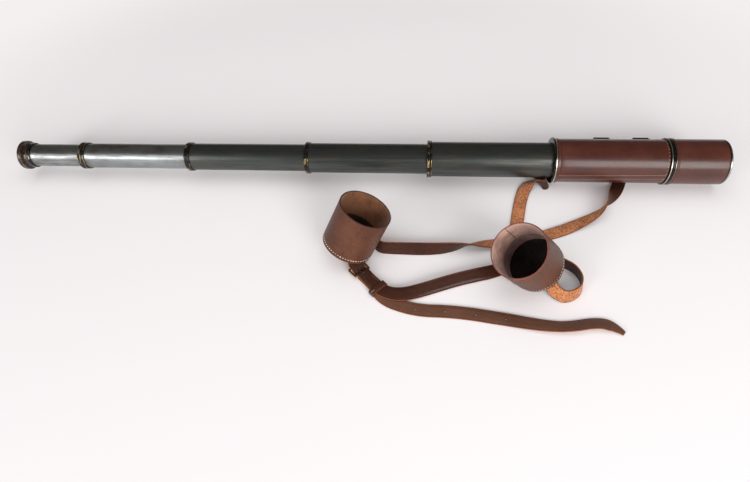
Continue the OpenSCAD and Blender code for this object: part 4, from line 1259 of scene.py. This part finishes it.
class TELESCOPE_OT_sunshade(bpy.types.Operator):
    """Sunshade rings and leather, and the objective inside"""

    bl_idname = "telescope.sunshade"
    bl_label = "Sunshade and objective"

    def execute(self, context):
        metal = context.scene.telescope_metal
        looks = context.scene.telescope_leather
        lacquer = worn_metal("black_lacquer", metal.lacquer, metal.line)
        silver = bright_metal("silvered_line", (0.42, 0.42, 0.36))
        out = SHADE_R + 0.0013
        rear = (
            (SHADE_TUBE_R, 0.1554),
            (out - 0.0005, 0.1554),
            (out, 0.1559),
            (out, 0.1567),
            (out - 0.0006, 0.1571),
            (out - 0.0006, 0.1580),
            (out, 0.1584),
            (out, 0.1596),
            (out - 0.0006, 0.1604),
            (SHADE_TUBE_R, 0.1604),
        )
        dull = bright_metal("dulled_line", (0.30, 0.27, 0.20))
        hide = tube_hide(looks)
        bm = lathe(rear, AXIS, steps=160)

        def rear_finish(r, z, facing):
            if z > 0.1572:
                return 2
            return int(0.1560 < z < 0.1566 and r > out - 0.0006)

        paint(bm, AXIS, rear_finish)
        piece(
            bm, "sunshade_rear_ring_turned", "sunshade", [lacquer, dull, hide],
            ["sunshade_rear_ring"],
        )
        lip = SHADE_R - 0.0001
        front = (
            (SHADE_TUBE_R, 0.2250),
            (lip, 0.2250),
            (lip, 0.2254),
            (lip - 0.0003, 0.2257),
            (lip, 0.2260),
            (lip, 0.2274),
            (lip - 0.0005, 0.2280),
            (SHADE_TUBE_R, 0.2280),
        )
        bm = lathe(front, AXIS, steps=160, soften=0.0001)
        paint(bm, AXIS, lambda r, z, o: 0 if z < 0.2259 or z > 0.22765 else 1)
        piece(
            bm, "sunshade_front_ring_turned", "sunshade", [lacquer, silver],
            ["sunshade_front_ring"],
        )
        cover = (
            (SHADE_TUBE_R, 0.1604),
            (SHADE_R - 0.0004, 0.1604),
            (SHADE_R, 0.1610),
            (SHADE_R, 0.2243),
            (SHADE_R - 0.0006, 0.2250),
            (SHADE_TUBE_R, 0.2250),
        )
        seam = -math.pi / 2 - math.radians(-40.0)
        bm = lathe(cover, AXIS, steps=128, soften=0.0003, seam=seam)
        piece(bm, "sunshade_cover", "sunshade", [hide], ["sunshade_leather"])
        thread = waxed_thread("barrel_thread", looks.barrel_thread)
        marks = []
        for k in range(int(0.060 / looks.fine_pitch)):
            for angle in (-44.0, -36.0):
                marks.append(axis_mark(0.1625 + k * looks.fine_pitch, math.radians(angle), SHADE_R))
        stitches(marks, looks, "sunshade_stitches", "sunshade", thread, 1.5, 0.42)

        blackened = tube_metal("blackened_bore", (0.02, 0.02, 0.02), (0.03, 0.025, 0.02), 0.5, 0.7)
        dress(blackened, "sunshade_tube")
        dress(bright_metal("fitting_brass", metal.brass), "objective_cell", "objective_spacer")
        dress(lacquer, "objective_retaining_ring")
        dress(lens_glass("lens_glass"), "objective_flint_lens", "objective_crown_lens")
        return {"FINISHED"}


class TELESCOPE_OT_caps(bpy.types.Operator):
    """Both leather caps with their linings, stitches and keepers"""

    bl_idname = "telescope.caps"
    bl_label = "Caps"

    def execute(self, context):
        looks = context.scene.telescope_leather
        sling = context.scene.telescope_sling
        rim = (0.13, 0.026, 0.018)
        hide = cap_hide("cap_leather_sewn", looks.cap, 0.0004, rim)
        plain = cap_hide("cap_leather_plain", looks.cap, 0.0, rim)
        rims = {
            "objective_cap": cap_hide("dark_rim", (0.075, 0.024, 0.015), gloss=0.5, polish=0.25),
            "eyepiece_cap": cap_hide("red_rim", (0.27, 0.075, 0.050), gloss=0.5, polish=0.25),
        }
        # Painted shade: the objective cap's deep inner wall is painted near black; the eyepiece
        # cap's inner wall keeps its own colour
        insides = {
            "objective_cap": suede("painted_shade_inside", (0.05, 0.025, 0.015)),
            "eyepiece_cap": suede("cap_inside", (0.25, 0.145, 0.125)),
        }
        # Painted shade: the floor inside each cap is painted near black
        painted_shade_floor = suede("painted_shade_cap_floor", (0.012, 0.009, 0.008))
        thread = waxed_thread("cap_thread", looks.thread)
        linings = {
            "objective_cap": suede("brown_suede", looks.suede, nap=0.7),
            "eyepiece_cap": suede("tan_lining", looks.lining, seam=0.0007),
        }
        for name, lining_seam, wall_seam in (("objective_cap", 30, 30), ("eyepiece_cap", 262, 205)):
            place = cap_place(name)
            wall = (
                (CAP_WALL_R, CAP_BASE),
                (CAP_R - 0.0003, CAP_BASE),
                (CAP_R, CAP_BASE + 0.0005),
                (CAP_R, CAP_LEN - 0.0005),
                (CAP_R - 0.0005, CAP_LEN),
                (CAP_WALL_R, CAP_LEN),
            )
            worn = ((CAP_R, CAP_LEN), (CAP_WALL_R + 0.0006, CAP_LEN), (CAP_R, CAP_BASE + 0.0003))
            bm = lathe(wall, place, 128, 0.0003, worn=worn, seam=math.radians(wall_seam))
            paint(
                bm, place, lambda r, z, out: 1 if out < -0.7 else 2 if z > CAP_LEN - 0.0008 else 0
            )
            piece(
                bm, name + "_shell", name, [hide, insides[name], rims[name]],
                [name + "_wall"],
            )

            disc = ((0, 0), (CAP_R - 0.0006, 0), (CAP_R, 0.0006), (CAP_R, CAP_BASE - 0.0003),
                    (CAP_R - 0.0003, CAP_BASE), (0, CAP_BASE))
            bm = lathe(disc, place, 96, 0.0002, closed=False, worn=((CAP_R, 0.0003),))
            paint(bm, place, lambda r, z, out: int(z > CAP_BASE - 0.0001 and r < CAP_WALL_R))
            piece(bm, name + "_disc", name, [plain, painted_shade_floor], [name + "_base"])

            low = CAP_LEN - 0.038
            inner = (
                (CAP_WALL_R - 0.00002, low),
                (CAP_WALL_R - 0.00002, CAP_LEN - 0.0009),
                (CAP_BORE_R + 0.0002, CAP_LEN - 0.0009),
                (CAP_BORE_R, CAP_LEN - 0.0012),
                (CAP_BORE_R, low),
            )
            bm = lathe(inner, place, 96, 0.0001, seam=math.radians(lining_seam))
            piece(bm, name + "_lining_sewn", name, [linings[name]], [name + "_lining"])

            marks = ring_marks(place, CAP_R, CAP_BASE + 0.0026, looks.pitch)
            seam = math.radians(wall_seam)
            turn = place.to_3x3()
            for side in (-1, 1):
                angle = seam + side * 0.0022 / CAP_R
                out = Vector((math.cos(angle), math.sin(angle), 0))
                for k in range(int((CAP_LEN - 0.008) / looks.pitch)):
                    spot = out * CAP_R + Vector((0, 0, 0.0065 + k * looks.pitch))
                    marks.append((place @ spot, turn @ Vector((0, 0, 1)), turn @ out))
            stitches(marks, looks, name + "_stitches", name, thread, 1.9, 0.42)

            # Keeper for the strap, under the base: path across the strap, width along it
            half = sling.width / 2 + 0.0006
            t, rise = 0.0015, sling.thickness + 0.0008
            path = filleted(
                ((-half - 0.0040, -t / 2), (-half - t / 2, -t / 2), (-half - t / 2, -rise - t / 2),
                 (half + t / 2, -rise - t / 2), (half + t / 2, -t / 2), (half + 0.0040, -t / 2)),
                0.0010, steps=4
            )
            flat = place @ Matrix(((1, 0, 0, 0), (0, 0, -1, 0), (0, 1, 0, 0), (0, 0, 0, 1)))
            bm = bmesh.new()
            band(bm, path_frames(path, flat, flip=True), strap_section(0.011, t))
            brown, rough, _ = strap_sides(looks)
            piece(
                bm, name + "_loop", name, [brown, rough, brown], [name + "_keeper"]
            )
            marks = []
            for x in (-half - 0.0028, half + 0.0028):
                for k in (-1, 0, 1):
                    spot = place @ Vector((x, k * 0.003, -t))
                    marks.append((spot, turn @ Vector((0, 1, 0)), turn @ Vector((0, 0, -1))))
            stitches(marks, looks, name + "_loop_stitches", name, thread)
        return {"FINISHED"}


def sling_frames(width, thickness, tip, steps=6):
    """Frames along the strap's route, as its CAD solid has them, with more steps."""
    count = len(ROUTE)

    def at(k):
        if k < 0:
            return tuple(2 * a - b for a, b in zip(ROUTE[0], ROUTE[1]))
        if k >= count:
            return tuple(2 * a - b for a, b in zip(ROUTE[-1], ROUTE[-2]))
        return ROUTE[k]

    samples = []
    for k in range(count - 1):
        last = k == count - 2
        for j in range(steps + 1 if last else steps):
            t = j / steps
            samples.append([
                0.5 * (2 * b + (c - a) * t + (2 * a - 5 * b + 4 * c - d) * t * t
                       + (3 * b - a - 3 * c + d) * t**3)
                for a, b, c, d in zip(at(k - 1), at(k), at(k + 1), at(k + 2))
            ])
    centres = []
    for x, y, lift, roll in samples:
        roll = math.radians(roll)
        half = width / 2 * abs(math.sin(roll)) + thickness / 2 * abs(math.cos(roll))
        centres.append(Vector((ORIGIN.x + x, ORIGIN.y + y, max(lift, 0.0001) + half)))
    end = len(centres) - 1
    frames = []
    for k, centre in enumerate(centres):
        if k == 0:
            along = Vector((math.cos(BUCKLE_TURN), math.sin(BUCKLE_TURN), 0))
        elif k == end:
            along = (centres[k] - centres[k - 1]).normalized()
        else:
            along = (centres[k + 1] - centres[k - 1]).normalized()
        roll = math.radians(samples[k][3])
        left = Vector((0, 0, 1)).cross(along).normalized()
        grain = along.cross(left) * math.cos(roll) + left * math.sin(roll)
        wide = 1.0
        to_tip = (centres[end] - centre).length
        if k > end - 4 * steps and to_tip < tip:
            wide = 0.32 + 0.68 * to_tip / tip
        frames.append((centre, along.cross(grain), grain, wide, 1.0))
    return frames


def punch(obj, cutter):
    """Cuts the cutter out of a piece and applies the result."""
    modifier = obj.modifiers.new("punch", "BOOLEAN")
    modifier.operation = "DIFFERENCE"
    modifier.solver = "EXACT"
    modifier.object = cutter
    depsgraph = bpy.context.evaluated_depsgraph_get()
    cut = bpy.data.meshes.new_from_object(obj.evaluated_get(depsgraph))
    obj.modifiers.clear()
    old = obj.data
    obj.data = cut
    cut.name = old.name
    bpy.data.objects.remove(cutter)


def cutter_of(bm):
    mesh = bpy.data.meshes.new("cutter")
    bm.to_mesh(mesh)
    bm.free()
    obj = bpy.data.objects.new("cutter", mesh)
    bpy.context.scene.collection.objects.link(obj)
    return obj


class TELESCOPE_OT_sling(bpy.types.Operator):
    """Strap with its pressed lines, holes and tip"""

    bl_idname = "telescope.sling"
    bl_label = "Sling strap"

    def execute(self, context):
        looks = context.scene.telescope_leather
        sling = context.scene.telescope_sling
        frames = sling_frames(sling.width, sling.thickness, sling.tip)
        bm = bmesh.new()
        band(bm, frames, strap_section(sling.width, sling.thickness, sling.crease))
        # The strap's tail is painted paler, as painted light
        grain = leather(
            "strap_grain", looks.strap, 820.0, 0.8, 0.00016, 0.34, edge=sling.width / 2, shine=0.15,
            painted_light_tint=looks.tail, painted_light_from=sling.painted_light_from,
        )
        rough, edge = flesh("flesh_side", looks.flesh), cut_edge(looks)
        strap = piece(
            bm, "sling_strap_cut", "barrel", [grain, rough, edge], ["sling_strap"]
        )
        bm = bmesh.new()
        for x, y in HOLES:
            place = Matrix.Translation((ORIGIN.x + x, ORIGIN.y + y, 0.002))
            bmesh.ops.create_cone(
                bm, cap_ends=True, segments=24, radius1=sling.hole / 2, radius2=sling.hole / 2,
                depth=0.008, matrix=place
            )
        slot = buckle_place() @ Matrix.Translation((-0.0065, 0, 0.006))
        bmesh.ops.create_cube(bm, size=1, matrix=slot @ Matrix.Diagonal((0.0075, 0.0028, 0.014, 1)))
        punch(strap, cutter_of(bm))
        if not strap.data.polygons:
            raise RuntimeError("the strap's holes could not be cut")
        return {"FINISHED"}


class TELESCOPE_OT_buckle(bpy.types.Operator):
    """Buckle frame, tongue, folded chape and the loop for the tail"""

    bl_idname = "telescope.buckle"
    bl_label = "Buckle"

    def execute(self, context):
        looks = context.scene.telescope_leather
        metal = context.scene.telescope_metal
        sling = context.scene.telescope_sling
        place = buckle_place()
        aged = bright_metal("aged_brass", (0.55, 0.40, 0.20), 0.20, 0.75)

        # Frame: a bent wire, thinner at the bar that the tongue turns on
        half, reach = 0.01095, -0.016
        path = filleted(((0, -half), (reach, -half), (reach, half), (0, half)), 0.0028, True, 6)
        level = place @ Matrix.Translation((0, 0, BAR_Z))
        wire = [(0.0015 * math.cos(a), 0.0015 * math.sin(a), 0)
                for a in (2 * math.pi * k / 16 for k in range(16))]
        dense = []
        for a, b in zip(path, path[1:] + path[:1]):
            parts = max(1, int((a - b).length / 0.002))
            dense += [a.lerp(b, j / parts) for j in range(parts)]
        frames = []
        for centre, side, up, wide, high in path_frames(dense, level, closed=True):
            spot = level.inverted() @ centre
            near_bar = max(0.0, min(1.0, (spot.x + 0.0012) / 0.0010))
            thin = 1 - near_bar * 0.1333
            frames.append((centre, side, up, thin, thin))
        bm = bmesh.new()
        band(bm, frames, wire, closed=True)
        piece(bm, "buckle_frame_bent", "barrel", [aged], ["buckle_frame"], sharp=70)

        # Tongue: an eye round the bar, then a pin that rests under the far bar
        eye = 0.00135 + 0.0005
        points = []
        for k in range(25):
            a = math.radians(-150 - 330 * (1 - k / 24)) + math.radians(330)
            points.append((Vector((eye * math.cos(a), BAR_Z + eye * math.sin(a))), 0.0005))
        tip = Vector((-0.0166, BAR_Z - 0.0015 - 0.0009 - 0.0001))
        root = points[-1][0] + Vector((-0.0006, -0.0002))
        pin = [(root.lerp(tip, t / 12), 0.0009 - 0.0003 * max(0, t - 9) / 3) for t in range(1, 13)]
        stem = points + pin
        tall = upright(place)
        frames = path_frames([p for p, r in stem], tall)
        frames = [
            (centre, side, up, 1.0 if r <= 0.0005 and k < len(points) else r / 0.0009, r / 0.0009)
            for k, ((centre, side, up, _, _), (p, r)) in enumerate(zip(frames, stem))
        ]
        round_wire = [(x * 0.6, y * 0.6, 0) for x, y, _ in wire]
        bm = bmesh.new()
        band(bm, frames, round_wire)
        for face in bm.faces:
            face.material_index = 0
        piece(bm, "buckle_tongue_bent", "tongue", [aged], ["buckle_tongue"], sharp=70)

        # Chape: the strap's end folded round the bar and sewn down
        brown, rough, edge = strap_sides(looks)
        under, fold = 0.0029, 0.0022
        path = [Vector((0.014 - 0.014 * k / 8, under)) for k in range(8)]
        for k in range(13):
            a = math.radians(-90 - 180 * k / 12)
            path.append(Vector((fold * math.cos(a), BAR_Z + fold * math.sin(a))))
        corners = ((0.0, BAR_Z + fold), (0.010, 0.00465), (CHAPE_LEN, 0.00465))
        slope = filleted(corners, 0.004, steps=8)
        path += slope[1:]
        bm = bmesh.new()
        section = strap_section(sling.width, sling.thickness, sling.crease)
        band(bm, path_frames(path, tall, flip=False), section)
        chape = piece(
            bm, "buckle_chape_folded", "barrel", [brown, rough, edge],
            ["buckle_chape"],
        )
        bm = bmesh.new()
        slot = place @ Matrix.Translation((-0.0015, 0, 0.005))
        bmesh.ops.create_cube(bm, size=1, matrix=slot @ Matrix.Diagonal((0.0090, 0.0028, 0.014, 1)))
        punch(chape, cutter_of(bm))

        thread = waxed_thread("cap_thread", looks.thread)
        brown_thread = waxed_thread("chape_thread", looks.brown_thread)
        marks = []
        turn = place.to_3x3()
        for y in (-sling.width / 2 + 0.0027, sling.width / 2 - 0.0027):
            for k in range(5):
                spot = place @ Vector((0.0115 + k * 0.0026, y, 0.0055))
                marks.append((spot, turn @ Vector((1, 0, 0)), Vector((0, 0, 1))))
        stitches(marks, looks, "buckle_chape_stitches", "barrel", brown_thread)

        # Loop for the tail: a closed band round both straps
        low, high, top = -0.0124 - 0.0005, 0.01035 + 0.0005, 0.0059 + 0.0005
        path = filleted(((low, 0.00065), (high, 0.00065), (high, top), (low, top)), 0.0016, True, 5)
        across = place @ Matrix.Translation((0.030, 0, 0)) @ Matrix(
            ((0, 0, 1, 0), (1, 0, 0, 0), (0, 1, 0, 0), (0, 0, 0, 1))
        )
        bm = bmesh.new()
        section = strap_section(0.008, 0.0010, 0, 0.0003)
        band(bm, path_frames(path, across, closed=True), section, True)
        piece(
            bm, "tail_keeper_loop", "barrel", [brown, brown, edge], ["tail_keeper"]
        )
        marks = []
        for y in (-0.0112, -0.0086):
            spot = place @ Vector((0.030, y, top + 0.0005))
            marks.append((spot, turn @ Vector((0, 1, 0)), Vector((0, 0, 1))))
        stitches(marks, looks, "tail_keeper_stitches", "barrel", thread, swell=1.3)
        return {"FINISHED"}


class TELESCOPE_PT_panel(bpy.types.Panel):
    """Builds the telescope's visible pieces one group at a time"""

    bl_idname = "TELESCOPE_PT_panel"
    bl_label = "Stalking telescope"
    bl_space_type = "VIEW_3D"
    bl_region_type = "UI"
    bl_category = "Telescope"

    def draw(self, context):
        for cls in OPERATORS:
            self.layout.operator(cls.bl_idname)
        for name, group in GROUPS.items():
            box = self.layout.box()
            for key in group.__annotations__:
                box.prop(getattr(context.scene, name), key)


OPERATORS = (
    TELESCOPE_OT_stage,
    TELESCOPE_OT_sling,
    TELESCOPE_OT_buckle,
    TELESCOPE_OT_draws,
    TELESCOPE_OT_eyepiece,
    TELESCOPE_OT_barrel,
    TELESCOPE_OT_sunshade,
    TELESCOPE_OT_caps,
)
GROUPS = {
    "telescope_stage": TelescopeStage,
    "telescope_metal": TelescopeMetal,
    "telescope_leather": TelescopeLeather,
    "telescope_sling": TelescopeSling,
}


def register():
    for cls in (*GROUPS.values(), *OPERATORS, TELESCOPE_PT_panel):
        bpy.utils.register_class(cls)
    for name, group in GROUPS.items():
        setattr(bpy.types.Scene, name, PointerProperty(type=group))


def unregister():
    for name in GROUPS:
        delattr(bpy.types.Scene, name)
    for cls in (TELESCOPE_PT_panel, *reversed(OPERATORS), *reversed(GROUPS.values())):
        bpy.utils.unregister_class(cls)


def main():
    register()
    bpy.ops.telescope.stage()
    bpy.ops.telescope.sling()
    bpy.ops.telescope.buckle()
    bpy.ops.telescope.draws()
    bpy.ops.telescope.eyepiece()
    bpy.ops.telescope.barrel()
    bpy.ops.telescope.sunshade()
    bpy.ops.telescope.caps()
    bpy.context.view_layer.update()


if __name__ == "__main__":
    main()
